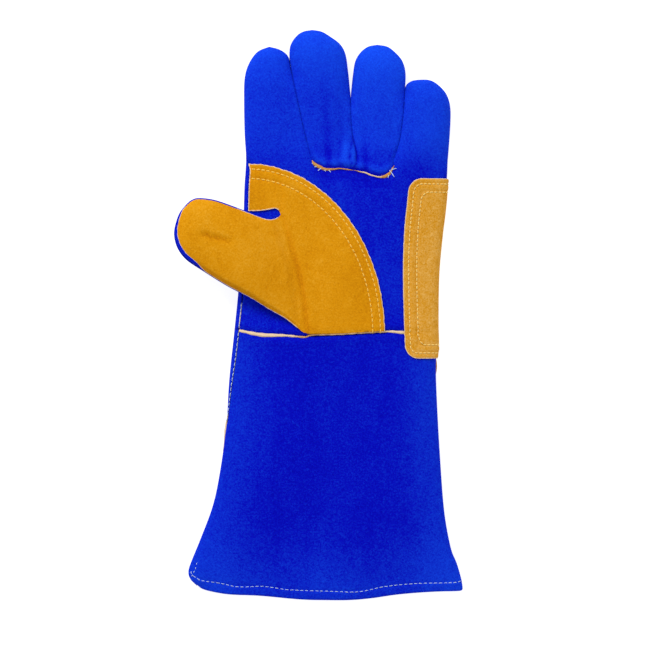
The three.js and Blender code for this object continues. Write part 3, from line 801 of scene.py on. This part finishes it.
def bend_wrist(piece):
    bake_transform(piece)


def bend_finger():
    """Gives the function that bakes a finger piece's transform into its mesh."""
    return lambda piece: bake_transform(piece)


FRONT_ROWS = hand_rows(front_inset)
BACK_ROWS = hand_rows(no_inset)
SPLIT = split_row(FRONT_ROWS, HAND_SPLIT_Y)
BACK_SPLIT = split_row(BACK_ROWS, HAND_SPLIT_Y)


def hemmed(name, outer, towards):
    """A cuff panel with its hem turned in, so that the leather is double there, and rounded at the fold."""
    normals = grid_normals(outer, towards)
    up = outer[..., 1] - HEM.y_at(outer[..., 0])
    double = 1 - smooth(HEM_TURN - 0.4, HEM_TURN + 0.4, up)
    thick = LEATHER * (1 + 0.85 * double)
    rounding = 0.6 * np.clip(1 - up / 1.8, 0, 1) ** 2
    thick[:, [0, -1]] = LEATHER
    return panel(name, outer - normals * rounding[..., None], BLUE, towards,
                 inner=outer - normals * (thick - rounding)[..., None])


def make_trunk_panels():
    palm, back = front_trunk(FRONT_ROWS[:SPLIT + 1]), back_trunk(BACK_ROWS[:BACK_SPLIT + 1])
    pieces = {"palm_panel": panel("palm_panel_leather", palm, BLUE, UP, cuts=("last_row",)),
              "back_panel": panel("back_panel_leather", back, BLUE, DOWN, cuts=("last_row",)),
              "cuff_front": hemmed("cuff_front_leather", front_trunk(cuff_rows(front_inset)), UP),
              "cuff_back": hemmed("cuff_back_leather", back_trunk(cuff_rows(no_inset)), DOWN)}
    for node, piece in pieces.items():
        set_tone(piece, blue_tone_and_shade)
        dress(piece, "blue_leather", bend_wrist, node)


def with_walls(outer, side):
    """Adds a column at each end that carries a finger's side wall down, or up, to the seam height."""
    walls = []
    for column in (0, -1):
        wall = outer[:, column].copy()
        wall[:, 2] = SEAM_Z + side * SEAM_GAP
        walls.append(wall[:, None])
    return np.concatenate([walls[0], outer, walls[1]], axis=1)


def make_finger(k, name):
    columns = slice(k * COLUMNS, (k + 1) * COLUMNS + 1)
    front_side = (1, front_height, FRONT_ROWS[SPLIT:-1, columns], front_inset if k == 0 else no_inset, UP)
    back_side = (-1, back_height, BACK_ROWS[BACK_SPLIT:-1, columns], no_inset, DOWN)
    for label, (side, height, plane, inset, towards) in (("front", front_side), ("back", back_side)):
        root = raise_grid(plane, height, np.broadcast_to(cosine(COLUMNS), plane.shape[:2]))
        xy, tau, fullness = finger_rows(name, inset)
        outer = with_walls(np.concatenate([root, raise_grid(xy, height, tau, fullness)]), side)
        if side < 0 and k == 0:
            strip_xy = thumb_side_strip(outer[:, 0])
            strip = raise_grid(strip_xy, front_height, np.full(strip_xy.shape[:2], -1.0))
            strip[:, :, 2] = np.maximum(strip[:, :, 2], SEAM_Z)
            outer = np.concatenate([strip, outer], axis=1)
        split = split_row(outer, FINGER_ZONES[name][0])
        for part, grid, cuts in (("base", outer[:split + 1], ("first_row", "last_row")),
                                 ("tip", outer[split:], ("first_row",))):
            piece = panel(f"{name}_{part}_{label}_leather", grid, BLUE, towards, cuts=cuts)
            set_tone(piece, blue_tone_and_shade)
            dress(piece, "blue_leather", bend_finger(), f"{name}_{part}_{label}")


# ---------------------------------------------------------------- linings

def loop_grid(stations, inset):
    """Closed rings inside the hand and cuff, one at each y."""
    angle = np.linspace(0, 2 * math.pi, 72, endpoint=False)
    c, s = np.cos(angle), np.sin(angle)
    rise = np.abs(s) ** 0.75
    low = HAND_BACK - 0.9 - inset
    rings = []
    for y in stations:
        left, right = LEFT_EDGE.x_at(y), RIGHT_EDGE.x_at(y)
        half = (right - left) / 2 - inset
        x = (left + right) / 2 + half * np.sign(c) * np.abs(c) ** 0.75
        top = trunk_bulge(y) - inset
        rings.append(np.stack([x, np.full_like(x, y), SEAM_Z + np.where(s > 0, top, -low) * rise], -1))
    return np.array(rings)


def digit_axis(xy):
    """Middle, half width and direction of each row of a finger's or the thumb's plane grid."""
    span = xy[:, -1] - xy[:, 0]
    half = np.linalg.norm(span, axis=1) / 2
    return xy.mean(axis=1), half, span / np.maximum(2 * half, 1e-6)[:, None]


def line_digit(name, xy, half, height, level, insets, rows, split, bend):
    """Fleece inside a finger or the thumb: flattened rings, in two pieces that meet at the split row."""
    middle, _, direction = digit_axis(xy)
    angle = np.linspace(0, 2 * math.pi, 24, endpoint=False)
    walls = []
    for inset in insets:
        plane = middle[:, None] + direction[:, None] * ((half - inset)[:, None] * np.cos(angle))[..., None]
        walls.append(with_z(plane, level[:, None] + (height - inset)[:, None] * np.sin(angle)))
    for part, span in (("base", slice(rows[0], split + 1)), ("tip", slice(split, rows[-1] + 1))):
        piece = sleeve(f"{name}_{part}_fleece", walls[0][span], walls[1][span])
        dress(piece, "fleece_lining", bend(part), f"{name}_{part}_lining")


def make_linings():
    outside = LEATHER + LINING_CLEARANCE
    for name, stations in (("hand_lining", np.linspace(-11.5, 90, 30)),
                           ("cuff_lining", np.linspace(-12.5, -184, 60))):
        piece = sleeve(f"{name}_fleece", loop_grid(stations, outside), loop_grid(stations, outside + LINING))
        dress(piece, "fleece_lining", bend_wrist, name)
    for name in FINGER_EDGES:
        xy, _, fullness = finger_rows(name)
        middle, half, _ = digit_axis(xy)
        rows = np.nonzero((half > 7.5) & (fullness[:, 0] > 0.5) & (middle[:, 1] > 110))[0]
        insets = (LEATHER + 1.5, LEATHER + 1.5 + LINING * 0.7)
        line_digit(name, xy, half, FINGER_FRONT * fullness[:, 0], np.full(len(xy), SEAM_Z), insets, rows,
                   split_row(xy, FINGER_ZONES[name][0]), lambda part: bend_finger())


# ---------------------------------------------------------------- patches

def patch_under(x, y):
    """The surface on which the palm patch lies: the palm, with most of the wrist seam's ditch filled."""
    return front_height(x, y) - DITCH_FILL * seam_ditch(x, y) + PATCH_LIFT


def channels(inward, rows, ridge):
    """Sunk channels under the two stitch rows of a patch, and the low ridge between them."""
    return -0.42 * (bump(inward, rows["outer"], 0.8) + bump(inward, rows["inner"], 0.8)) + 0.18 * bump(
        inward, ridge, 1.6)


def patch_height(x, y):
    """The palm patch's outer surface, with its two stitched channels and the fold beside the thumb."""
    sewn = channels(patch_inward(x, y), PATCH_ROWS, PATCH_RIDGE)
    from_fold = x - FOLD.x_at(y)
    fold = -1.15 * bump(from_fold, 0.4, 1.5) + 0.75 * bump(from_fold, 4.6, 3.4)
    swell = 0.2 * np.sin(x / 6.5 + y / 15) * np.sin(y / 9.0 + 0.5)
    return patch_under(x, y) + LEATHER + sewn + fold * fold_strength(y) + swell


def cut_edge(name, line, attach):
    """The pale raw edge of a leather patch, as a fine strip along its border."""
    radius = 0.34 + 0.07 * np.sin(np.arange(len(line)) * 1.9) + rng.normal(0, 0.04, len(line))
    piece = tube(name, line, radius, UP, 6)
    set_tone(piece, lambda x, y, z: 0.8 + 0.2 * np.sin(x * 1.7 + y * 2.3))
    dress(piece, "tan_leather", attach)


def make_palm_patch():
    angle = np.concatenate([np.linspace(-0.006, 1.25, 92), np.linspace(1.25, math.pi / 2 + 0.002, 24)[1:]])
    rel = (PATCH_INNER.points - PATCH_CENTRE) / PATCH_RADIUS
    inner = np.interp(angle, np.arctan2(rel[:, 1], rel[:, 0]), np.linalg.norm(rel, axis=1))
    from_edge = np.array([0, 0.35, 0.9, 1.6, 2.2, 2.7, 3.2, 3.8, 4.5, 5.5, 6.6, 7.6, 8.2, 8.7, 9.2, 9.9, 11])
    outer_share = 1 - from_edge / PATCH_DEPTH
    rough = 0.12 * np.sin(angle * 61) + 0.12 * np.sin(angle * 137 + 1) + 0.06 * np.sin(angle * 23)
    steps = np.concatenate([[0, 0.006, 0.014], np.linspace(0.03, 1, 34)[:-1]])
    rows = []
    for a, start, wobble in zip(angle, inner, rough):
        ragged = outer_share[::-1] + wobble / PATCH_DEPTH * (from_edge[::-1] < 1)
        share = np.concatenate([mix(start, outer_share[-1], steps), ragged])
        rows.append(PATCH_CENTRE + share[:, None] * np.array([math.cos(a), math.sin(a)]) * PATCH_RADIUS)
    xy = np.array(rows)
    xy[..., 0] = np.maximum(xy[..., 0], (LEFT_EDGE.x_at(xy[..., 1]) + seam_inset(xy[..., 1]) + 0.35))
    xy[..., 1] = np.maximum(xy[..., 1], WRIST_SEAM.y_at(xy[..., 0]) + 0.35)
    outer, _ = lie_on(patch_height, xy)
    outer[:, -1, 2] -= 0.5
    outer[:, -2, 2] -= 0.12
    under, _ = lie_on(patch_under, xy)
    piece = panel("palm_patch_leather", outer, GOLD, UP, inner=under - [0, 0, 0.3], cuts=("first_column",))
    set_tone(piece, gold_tone_and_shade)
    dress(piece, "gold_leather", bend_wrist, "palm_patch")
    notch = (xy[:, 0, 1] > 72.6) & (xy[:, 0, 0] < -27)
    cut_edge("palm_patch_outer_edge", outer[:, -1], bend_wrist)
    cut_edge("palm_patch_notch_edge", outer[notch, 0], bend_wrist)
    cut_edge("palm_patch_side_edge", outer[-1], bend_wrist)
    theta = np.linspace(0.0, math.pi / 2 - 0.004, 260)
    for row_name, inset in PATCH_ROWS.items():
        radius = PATCH_RADIUS * (1 - inset / PATCH_DEPTH)
        arc = PATCH_CENTRE + np.stack([np.cos(theta), np.sin(theta)], -1) * radius
        arc = arc[arc[:, 0] > LEFT_EDGE.x_at(arc[:, 1]) + seam_inset(arc[:, 1]) + 0.8]
        node = f"palm_patch_{row_name}_thread"
        row = stitches(f"{node}_stitches", *lie_on(patch_height, arc, 0.05), THREAD)
        dress(row, "cream_thread", bend_wrist, node)


def section_point(y, turn, lift):
    """A point of the trunk's outer surface at y, found by turning round the little-finger side: turn counts
    millimetres from the side seam, positive on to the palm side. lift is the distance out of the surface."""
    left, right = LEFT_EDGE.x_at(y), RIGHT_EDGE.x_at(y)
    x = (left + right) / 2 + (right - left) / 2 * np.sin(np.linspace(math.pi / 2, 0.2, 140))
    level = np.full_like(x, y)
    palm = np.stack([x, front_height(x, level) - DITCH_FILL * seam_ditch(x, level)], -1)
    back = np.stack([x, back_height(x, level)], -1)
    path = np.concatenate([back[::-1], palm])
    arc = np.concatenate([[0], np.cumsum(np.linalg.norm(np.diff(path, axis=0), axis=1))])
    middle = arc[len(back)] - 0.05
    spot, ahead, behind = (np.stack([np.interp(middle + turn + step, arc, path[:, i]) for i in range(2)], -1)
                           for step in (0, 1.2, -1.2))
    run = ahead - behind
    normal = np.stack([run[:, 1], -run[:, 0]], -1)
    normal /= np.linalg.norm(normal, axis=1, keepdims=True)
    spot = spot + normal * np.asarray(lift)[..., None]
    return np.insert(spot, 1, y, axis=1), np.insert(normal, 1, 0, axis=1)


def reach_to_side(y):
    """The turn at which the heel patch's surface stands over its straight side."""
    turn = np.linspace(12, 42, 61)
    x = section_point(y, turn, np.full_like(turn, LEATHER + PATCH_LIFT))[0][:, 0]
    return np.interp(-HEEL_SIDE.x_at(y), -x, turn)


HEEL_STATIONS = np.linspace(HEEL_LOW, HEEL_HIGH, 48)
HEEL_REACH = np.array([reach_to_side(y) for y in HEEL_STATIONS])


def heel_end(y):
    """Distance in from the nearer end of the heel patch."""
    return np.minimum(y - HEEL_LOW, HEEL_HIGH - y)


def corner_cut(y):
    """What the heel patch's rounded corners take off its reach."""
    corner = np.clip(1 - heel_end(y) / HEEL_CORNER, 0, 1)
    return HEEL_CORNER * (1 - np.sqrt(1 - corner**2))


def heel_palm_reach(y):
    """How far the heel patch reaches on to the palm side, in millimetres round from the side seam."""
    return np.interp(y, HEEL_STATIONS, HEEL_REACH) - corner_cut(y)


def heel_back_reach(y):
    return HEEL_WRAP - corner_cut(y)


def heel_channels(y, turn):
    """How the heel patch is sunk under its stitch rows, which run parallel to its border."""
    side = np.minimum(heel_palm_reach(y) - turn, turn + heel_back_reach(y))
    return channels(np.minimum(heel_end(y), side), HEEL_ROWS, HEEL_RIDGE)


def make_heel_patch():
    ends = np.array([0.02, 0.3, 0.8, 1.5, 2.4, 3.4, 4.6, 6, 7.6, 9, 10.4])
    rows_y = np.concatenate([HEEL_LOW + ends, np.linspace(HEEL_LOW + 12, HEEL_HIGH - 12, 56),
                             HEEL_HIGH - ends[::-1]])
    edge = np.array([0, 0.35, 0.9, 1.7, 2.6, 3.4, 4.2, 5.2, 6.4, 7.6, 8.4, 9.0, 9.6, 10.4])
    outer, under = [], []
    for y in rows_y:
        front, back = heel_palm_reach(y), heel_back_reach(y)
        middle = np.linspace(-back + 12, front - 12, 26)
        turn = np.concatenate([-back + edge, middle, (front - edge)[::-1]])
        border = np.minimum(np.minimum(turn + back, front - turn), heel_end(y))
        rise = LEATHER + PATCH_LIFT + heel_channels(y, turn) - 0.5 * bump(border, 0, 0.35)
        outer.append(section_point(y, turn, rise)[0])
        under.append(section_point(y, turn, np.full_like(turn, -0.1))[0])
    outer = np.array(outer)
    piece = panel("heel_patch_leather", outer, ROUGH_GOLD, UP, inner=np.array(under))
    set_tone(piece, 0.22)
    dress(piece, "gold_leather", bend_wrist, "heel_patch")
    half = outer.shape[1] // 2
    border = np.concatenate([outer[0, half:], outer[1:-1, -1], outer[-1, half:][::-1]])
    cut_edge("heel_patch_edge", border, bend_wrist)
    for row_name, inset in HEEL_ROWS.items():
        line, up = [], []
        for y, turn in heel_route(inset):
            turn = np.array([turn])
            point, normal = section_point(y, turn, LEATHER + PATCH_LIFT + 0.12 + heel_channels(y, turn))
            line.append(point[0])
            up.append(normal[0])
        node = f"heel_patch_{row_name}_thread"
        row = stitches(f"{node}_stitches", np.array(line), np.array(up), HEEL_THREAD, 3.0, 2.4, 0.4)
        dress(row, "cream_thread", bend_wrist, node)


def heel_route(inset):
    """The closed line parallel to the heel patch's border, as (y, turn) pairs."""
    low, high = HEEL_LOW + inset, HEEL_HIGH - inset
    radius = max(HEEL_CORNER - inset, 5.5)
    ys = np.linspace(low + radius, high - radius, 70)
    palm = [(y, heel_palm_reach(y) - inset) for y in ys]
    back = [(y, -heel_back_reach(y) + inset) for y in ys]
    turns = np.linspace(0, math.pi / 2, 10)[1:-1]

    def corner(level, reach, out, side, rising):
        pairs = [(level + out * (radius * math.sin(a) - radius),
                  reach - side * (radius - radius * math.cos(a))) for a in turns]
        return pairs if rising else pairs[::-1]

    top = [(high, t) for t in np.linspace(palm[-1][1] - radius, back[-1][1] + radius, 24)]
    bottom = [(low, t) for t in np.linspace(back[0][1] + radius, palm[0][1] - radius, 24)]
    return (palm + corner(high, palm[-1][1], 1, 1, True) + top + corner(high, back[-1][1], 1, -1, False)
            + back[::-1] + corner(low, back[0][1], -1, -1, True) + bottom
            + corner(low, palm[0][1], -1, 1, False) + palm[:1])


# ---------------------------------------------------------------- thumb

def thumb_rise(from_fold):
    return mix(0.55, THUMB_HALF, smooth(0, THUMB_RAMP, from_fold) ** 0.85)


def distance_from_fold(xy):
    """Distance to the left of the fold line."""
    return np.maximum(0, (FOLD.x_at(np.clip(xy[..., 1], -12.6, 71.8)) - xy[..., 0])) * 0.97


def thumb_rim(lower):
    """Width of the blue rim that shows along the thumb's lower edge."""
    return 2.9 * smooth(-78, -90, lower[:, 0]) * smooth(78, 66, lower[:, 1])


def thumb_plane(rim_share, first=0.0):
    """Plane grid of the thumb from the fold, or a little past it, to its tip."""
    f = np.concatenate([np.linspace(first, 0.62, 52), 1 - 0.38 * (1 - np.linspace(0, 1, 34)[1:]) ** 1.5])
    upper, lower = THUMB_UPPER.at(f), THUMB_LOWER.at(f)
    share = (cosine(THUMB_COLUMNS) + 1) / 2
    fold = FOLD.at(1 - share) + [FOLD_OVERLAP, 0]
    span = np.maximum(np.linalg.norm(upper - lower, axis=1), 1e-6)
    start = rim_share * thumb_rim(lower) / span
    cross = start[:, None] + (1 - start)[:, None] * share[None]
    xy = lower[:, None] + (upper - lower)[:, None] * cross[..., None]
    low, high = THUMB_LOWER.at(0.0), THUMB_UPPER.at(0.0)
    bow = fold - (low + (high - low) * share[:, None])
    xy = xy + bow[None] * (1 - smooth(0, 0.35, f))[:, None, None]
    reference = span[np.searchsorted(f, 0.7)]
    fullness = np.minimum(1, mix(1.0, span / reference, smooth(0.62, 0.8, f)))
    return xy, 2 * cross - 1, fullness[:, None]


def thumb_creases(x, y):
    """A long crease by the thumb's tip and a short one across its middle."""
    line_start, line_end = np.array([-86, 56.4]), np.array([-56, 50.6])
    d = (line_end - line_start) / np.linalg.norm(line_end - line_start)
    rel = np.stack([x, y], -1) - line_start
    along, aside = rel @ d, rel @ np.array([-d[1], d[0]])
    dimple = -1.3 * bump(aside, 0.3 * np.sin(along / 6), 1.5) * smooth(-1, 8, along) * smooth(30, 20, along)
    dimple = dimple - 0.3 * bump(aside, -2, 4.5) * bump(along, 14, 11)
    crease = -0.5 * bump(x + 0.12 * y, -64.5, 1.0) * bump(y, 37, 6)
    return dimple + crease


def above_lower_edge(xy):
    """Distance from the thumb's lower edge, inwards."""
    return (xy[..., 1] - THUMB_LOWER.y_at(xy[..., 0])) * 0.87


def rolled_edge(xy):
    """The palm leather folds over in a narrow facet along the thumb's lower edge."""
    inward = above_lower_edge(xy)
    along = smooth(-90, -78, xy[..., 0]) * smooth(-8, -20, xy[..., 0])
    return along * (0.5 * (1 - smooth(1.4, 3.0, inward)) - 0.2 * bump(inward, 3.6, 1.0))


def thumb_top(xy, tau, fullness):
    x, y = xy[..., 0], xy[..., 1]
    from_fold = distance_from_fold(xy)
    round_top = oval(tau, 2.25)
    relief = thumb_creases(x, y) + 0.5 * np.sin(x / 10.5 + y / 19) * np.sin(y / 13.5 + 1)
    relief = relief * np.minimum(1, 1.5 * round_top * fullness) * smooth(6, 22, from_fold)
    shape = THUMB_Z + thumb_rise(from_fold) * (1 + fullness * round_top) + 0.12 - rolled_edge(xy) + relief
    return mix(patch_height(x, y) + 0.04, shape, smooth(0, 9, from_fold))


def thumb_bottom(xy, tau, fullness):
    x, y = xy[..., 0], xy[..., 1]
    shape = THUMB_Z + thumb_rise(distance_from_fold(xy)) * (1 - fullness * oval(tau, 2.6)) - 0.12
    clear = np.maximum(shape, front_height(x, y) + 0.15)
    over_palm = x > LEFT_EDGE.x_at(y) + 1
    return np.minimum(np.where(over_palm, clear, shape), thumb_top(xy, tau, fullness) - THUMB_CLEARANCE)


def bend_thumb(part):
    """Gives the function that bakes a thumb piece's transform into its mesh."""
    return lambda piece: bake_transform(piece)


def thumb_split(xy):
    """The last row that lies wholly before the thumb's bending zone."""
    along = ((xy - THUMB_ORIGIN) @ THUMB_AXIS).max(axis=1)
    return int(np.nonzero(along <= THUMB_ZONE[0])[0][-1])


def make_thumb():
    xy, tau, fullness = thumb_plane(1.0)
    front = with_z(xy, thumb_top(xy, tau, fullness))
    front[:, 0, 2] -= 0.45 * (thumb_rim(xy[:, 0]) > 0.2)
    full_xy, full_tau, full = thumb_plane(0.0, THUMB_BACK_START)
    back = with_z(full_xy, thumb_bottom(full_xy, full_tau, full))
    share = np.linspace(0, 1, 6)[:-1]
    rim_end = thumb_plane(1.0, THUMB_BACK_START)[0][:, :1]
    rim_xy = full_xy[:, :1] + (rim_end - full_xy[:, :1]) * (1 - share)[None, :, None] * 0.9
    span = np.linalg.norm(full_xy[:, -1] - full_xy[:, 0], axis=1)
    rim_tau = -1 + 2 * np.linalg.norm(rim_xy - full_xy[:, :1], axis=2) / np.maximum(span, 1e-6)[:, None]
    rim = with_z(rim_xy, thumb_top(rim_xy, rim_tau, full) - 0.1)
    rim[..., 2] = np.maximum(rim[..., 2], back[:, :1, 2] + 0.05)
    back = np.concatenate([rim, back], axis=1)
    for label, grid, material, slot, tone, towards in (("front", front, GOLD, "gold_leather", thumb_tone_and_shade, UP),
                                                       ("back", back, BLUE, "blue_leather", 0.1, DOWN)):
        split = thumb_split(grid[..., :2])
        for part, rows, cuts in (("base", grid[:split + 1], ("first_row", "last_row")),
                                 ("tip", grid[split:], ("first_row",))):
            piece = panel(f"thumb_{part}_{label}_leather", rows, material, towards, THUMB_LEATHER, cuts)
            set_tone(piece, tone)
            dress(piece, slot, bend_thumb(part), f"thumb_{part}_{label}")
    upper = front[:, -1]
    shown = (upper[:, 0] > -58) & (upper[:, 0] < -29)
    cut_edge("thumb_upper_edge", upper[shown], bend_thumb("base"))
    split = thumb_split(front[..., :2])
    begin = int(np.nonzero(front[:, 0, 0] < -14)[0][0])
    end = int(np.nonzero(front[:, 0, 1] < 76)[0][-1])
    cut_edge("thumb_base_lower_edge", front[begin:split + 1, 0], bend_thumb("base"))
    cut_edge("thumb_tip_lower_edge", front[split:end, 0], bend_thumb("tip"))
    middle, half, _ = digit_axis(full_xy)
    rise = thumb_rise(distance_from_fold(middle))
    height = rise * full[:, 0]
    rows = np.nonzero((half > 9) & (height > 4.6))[0]
    line_digit("thumb", full_xy, half - 1.5, height, THUMB_Z + rise, (2.2, 3.1), rows, thumb_split(full_xy),
               bend_thumb)


# ---------------------------------------------------------------- welts and hem

def ride_on(body):
    return lambda piece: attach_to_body(piece, body)


def welt(node, line, radius, up, attach, tone=None, sides=8, flat=1.0):
    """A tan strip sewn into a seam."""
    piece = tube(f"{node}_strip", line, radius, up, sides, flat)
    if tone is not None:
        set_tone(piece, tone)
    dress(piece, "tan_leather", attach, node)


def make_finger_welt():
    f = np.linspace(0, 1, 90)
    line, up = lie_on(front_height, FINGER_WELT.at(f), 0.95)
    radius = 0.48 + 0.85 * bump(f, 0.12, 0.10) + 0.75 * bump(f, 0.88, 0.08) + 0.08 * np.sin(f * 31)
    radius = radius * smooth(-0.02, 0.05, np.minimum(f, 1 - f)) * (1 - 0.75 * bump(f, 0.49, 0.05))
    welt("finger_base_welt", line, np.maximum(radius, 0.08), up, ride_on("hand"),
         lambda x, y, z: 0.75 * smooth(26, 30, x) * smooth(45, 41, x), flat=0.8)
    for end, (a, b, aside) in enumerate(((0.0, 0.26, -0.3), (0.86, 1.0, 0.5))):
        part = FINGER_WELT.at(np.linspace(a, b, 12)) + np.array([aside, -1.5])
        row = stitches(f"finger_base_stitches_{end}", *lie_on(front_height, part, 0.6), WHITE_THREAD,
                       2.9, 1.7, 0.3, 4.5)
        dress(row, "cream_thread", ride_on("hand"))


def wrist_tone(x, y, z):
    return 0.9 - 0.75 * smooth(-20, -12, x) + 0.35 * smooth(-8, -2, x) + 0.4 * smooth(44, 47, x)


def make_wrist_welts():
    x = np.linspace(-56.2, 60.5, 150)
    xy = np.stack([x, WRIST_SEAM.y_at(x)], -1)
    line, up = lie_on(front_height, xy, 0.5 + 1.1 * smooth(-9, -5, x) * smooth(48, 45, x))
    radius = 0.62 + 0.95 * bump(x, -40, 15) + 0.6 * bump(x, 57, 6) + 0.12 * np.sin(x * 0.9)
    welt("wrist_welt_front", line, radius, up, bend_wrist, wrist_tone, flat=0.75)
    x = np.linspace(-56, 58, 150)
    y = WRIST_SEAM.y_at(x)
    line = np.stack([x, y, np.maximum(back_height(x, y) - 0.3, 0.75)], -1)
    welt("wrist_welt_back", line, np.full_like(x, 0.7), DOWN, bend_wrist, wrist_tone, flat=0.75)


def make_side_welts():
    """Tan strips in the side seams; on the thumb side the seam lies on the palm side of the outline."""
    for node, low, high in (("hand_thumb_side_welt", -9, 96), ("cuff_thumb_side_welt", -186, -12)):
        y = np.linspace(low, high, 120)
        buried = 1 - smooth(-104, -94, y)
        x = LEFT_EDGE.x_at(y) + seam_inset(y) - 0.3 * bump(y, -79, 11) + 1.2 * buried
        z = front_height(x - 1.2 * buried, y)
        shown = np.minimum(bump(y, -79, 9) + bump(y, -3, 8), 1)
        line = np.stack([x, y, z - (1.6 - 1.25 * shown) * (1 - buried)], -1)
        up = np.broadcast_to(np.array([-0.6, 0, 0.8]), line.shape)
        radius = 0.2 + 0.7 * bump(y, -79, 8) + 0.25 * bump(y, -3, 8) + 0.04 * np.sin(y * 1.3)
        welt(node, line, radius, up, bend_wrist, 1)
        sewn = (y > -76) & (y < 9)
        seam = np.stack([x, y, z + 0.35], -1)
        row = stitches(f"{node}_stitches", seam[sewn], up[sewn], WHITE_THREAD, 3.4, 2.8, 0.27)
        dress(row, "cream_thread", bend_wrist)
    for node, low, high in (("hand_little_side_welt", -9, 108), ("cuff_little_side_welt", -189, -12)):
        y = np.linspace(low, high, 120)
        line = np.stack([RIGHT_EDGE.x_at(y) - 1.3 + 1.4 * bump(y, -36, 7), y, np.full_like(y, SEAM_Z)], -1)
        welt(node, line, 0.45 + 0.3 * bump(y, -35, 8), (1.0, 0, 0), bend_wrist)


def make_hem():
    front = lie_on(front_height, HEM_ROW.at(np.linspace(0, 1, 400)), 0.05)
    corner = lie_on(front_height, CORNER_ROW.at(np.linspace(0, 1, 40)), 0.05)
    x = np.linspace(-70, 82, 300)
    y = HEM.y_at(x) + HEM_ROW_UP
    z = back_trunk_height(x, y) + LEATHER + 1.3
    inside = np.stack([x, y, np.maximum(z, 0.4 + LEATHER)], -1)
    back = (inside, np.broadcast_to(np.array([0, 0, 1.0]), inside.shape))
    row = stitches("hem_front_stitches", *front, WHITE_THREAD, 3.5, 2.7, 0.23)
    dress(row, "cream_thread", ride_on("cuff"), "hem_thread_front")
    row = stitches("hem_corner_stitches", *corner, WHITE_THREAD, 2.7, 1.5, 0.22, 0.6)
    dress(row, "cream_thread", ride_on("cuff"))
    row = stitches("hem_back_stitches", *back, WHITE_THREAD, 3.7, 2.7, 0.3)
    dress(row, "cream_thread", ride_on("cuff"), "hem_thread_back")


# ---------------------------------------------------------------- stage

def make_camera():
    camera = bpy.data.cameras.new("camera")
    camera.sensor_width = 36
    camera.lens = camera.sensor_width * VIEW_DISTANCE / VIEW_WIDTH
    camera.clip_end = 20
    obj = bpy.data.objects.new("camera", camera)
    obj.location = CAMERA_PLACE
    bpy.context.scene.collection.objects.link(obj)
    bpy.context.scene.camera = obj


def make_light(name, place, size, power):
    """A round lamp that faces the glove's middle."""
    light = bpy.data.lights.new(name, "AREA")
    light.shape = "DISK"
    light.size = size
    light.energy = power
    obj = bpy.data.objects.new(name, light)
    obj.location = place
    flat = math.hypot(place[0], place[1])
    obj.rotation_euler = (math.pi / 2 - math.atan2(place[2], flat), 0,
                          math.atan2(-place[1], -place[0]) - math.pi / 2)
    bpy.context.scene.collection.objects.link(obj)


def make_stage():
    mesh = bpy.data.meshes.new("floor")
    corners = [(x * FLOOR_HALF, y * FLOOR_HALF, 0) for x, y in ((-1, -1), (1, -1), (1, 1), (-1, 1))]
    mesh.from_pydata(corners, [], [(0, 1, 2, 3)])
    look = Look("white_floor", 1.0, 0.0)
    look.shader.inputs["Base Color"].default_value = (0.45, 0.45, 0.45, 1)
    look.shader.inputs["Emission Color"].default_value = (1, 1, 1, 1)
    look.shader.inputs["Emission Strength"].default_value = 0.86
    mesh.materials.append(look.material)
    floor = bpy.data.objects.new("floor", mesh)
    bpy.context.scene.collection.objects.link(floor)
    world = bpy.data.worlds.new("studio")
    world.use_nodes = True
    world.node_tree.nodes["Background"].inputs["Color"].default_value = (1, 1, 1, 1)
    world.node_tree.nodes["Background"].inputs["Strength"].default_value = 0.42
    bpy.context.scene.world = world
    bpy.context.scene.view_settings.view_transform = "Standard"
    bpy.context.scene.view_settings.look = "None"
    make_light("key", (-0.8, 1.5, 1.6), 0.9, 36)
    make_light("fill", (1.3, -0.4, 1.8), 1.6, 7)


make_camera()
make_stage()
make_trunk_panels()
for number, finger_name in enumerate(FINGER_EDGES):
    make_finger(number, finger_name)
make_thumb()
make_linings()
make_palm_patch()
make_heel_patch()
make_finger_welt()
make_wrist_welts()
make_side_welts()
make_hem()
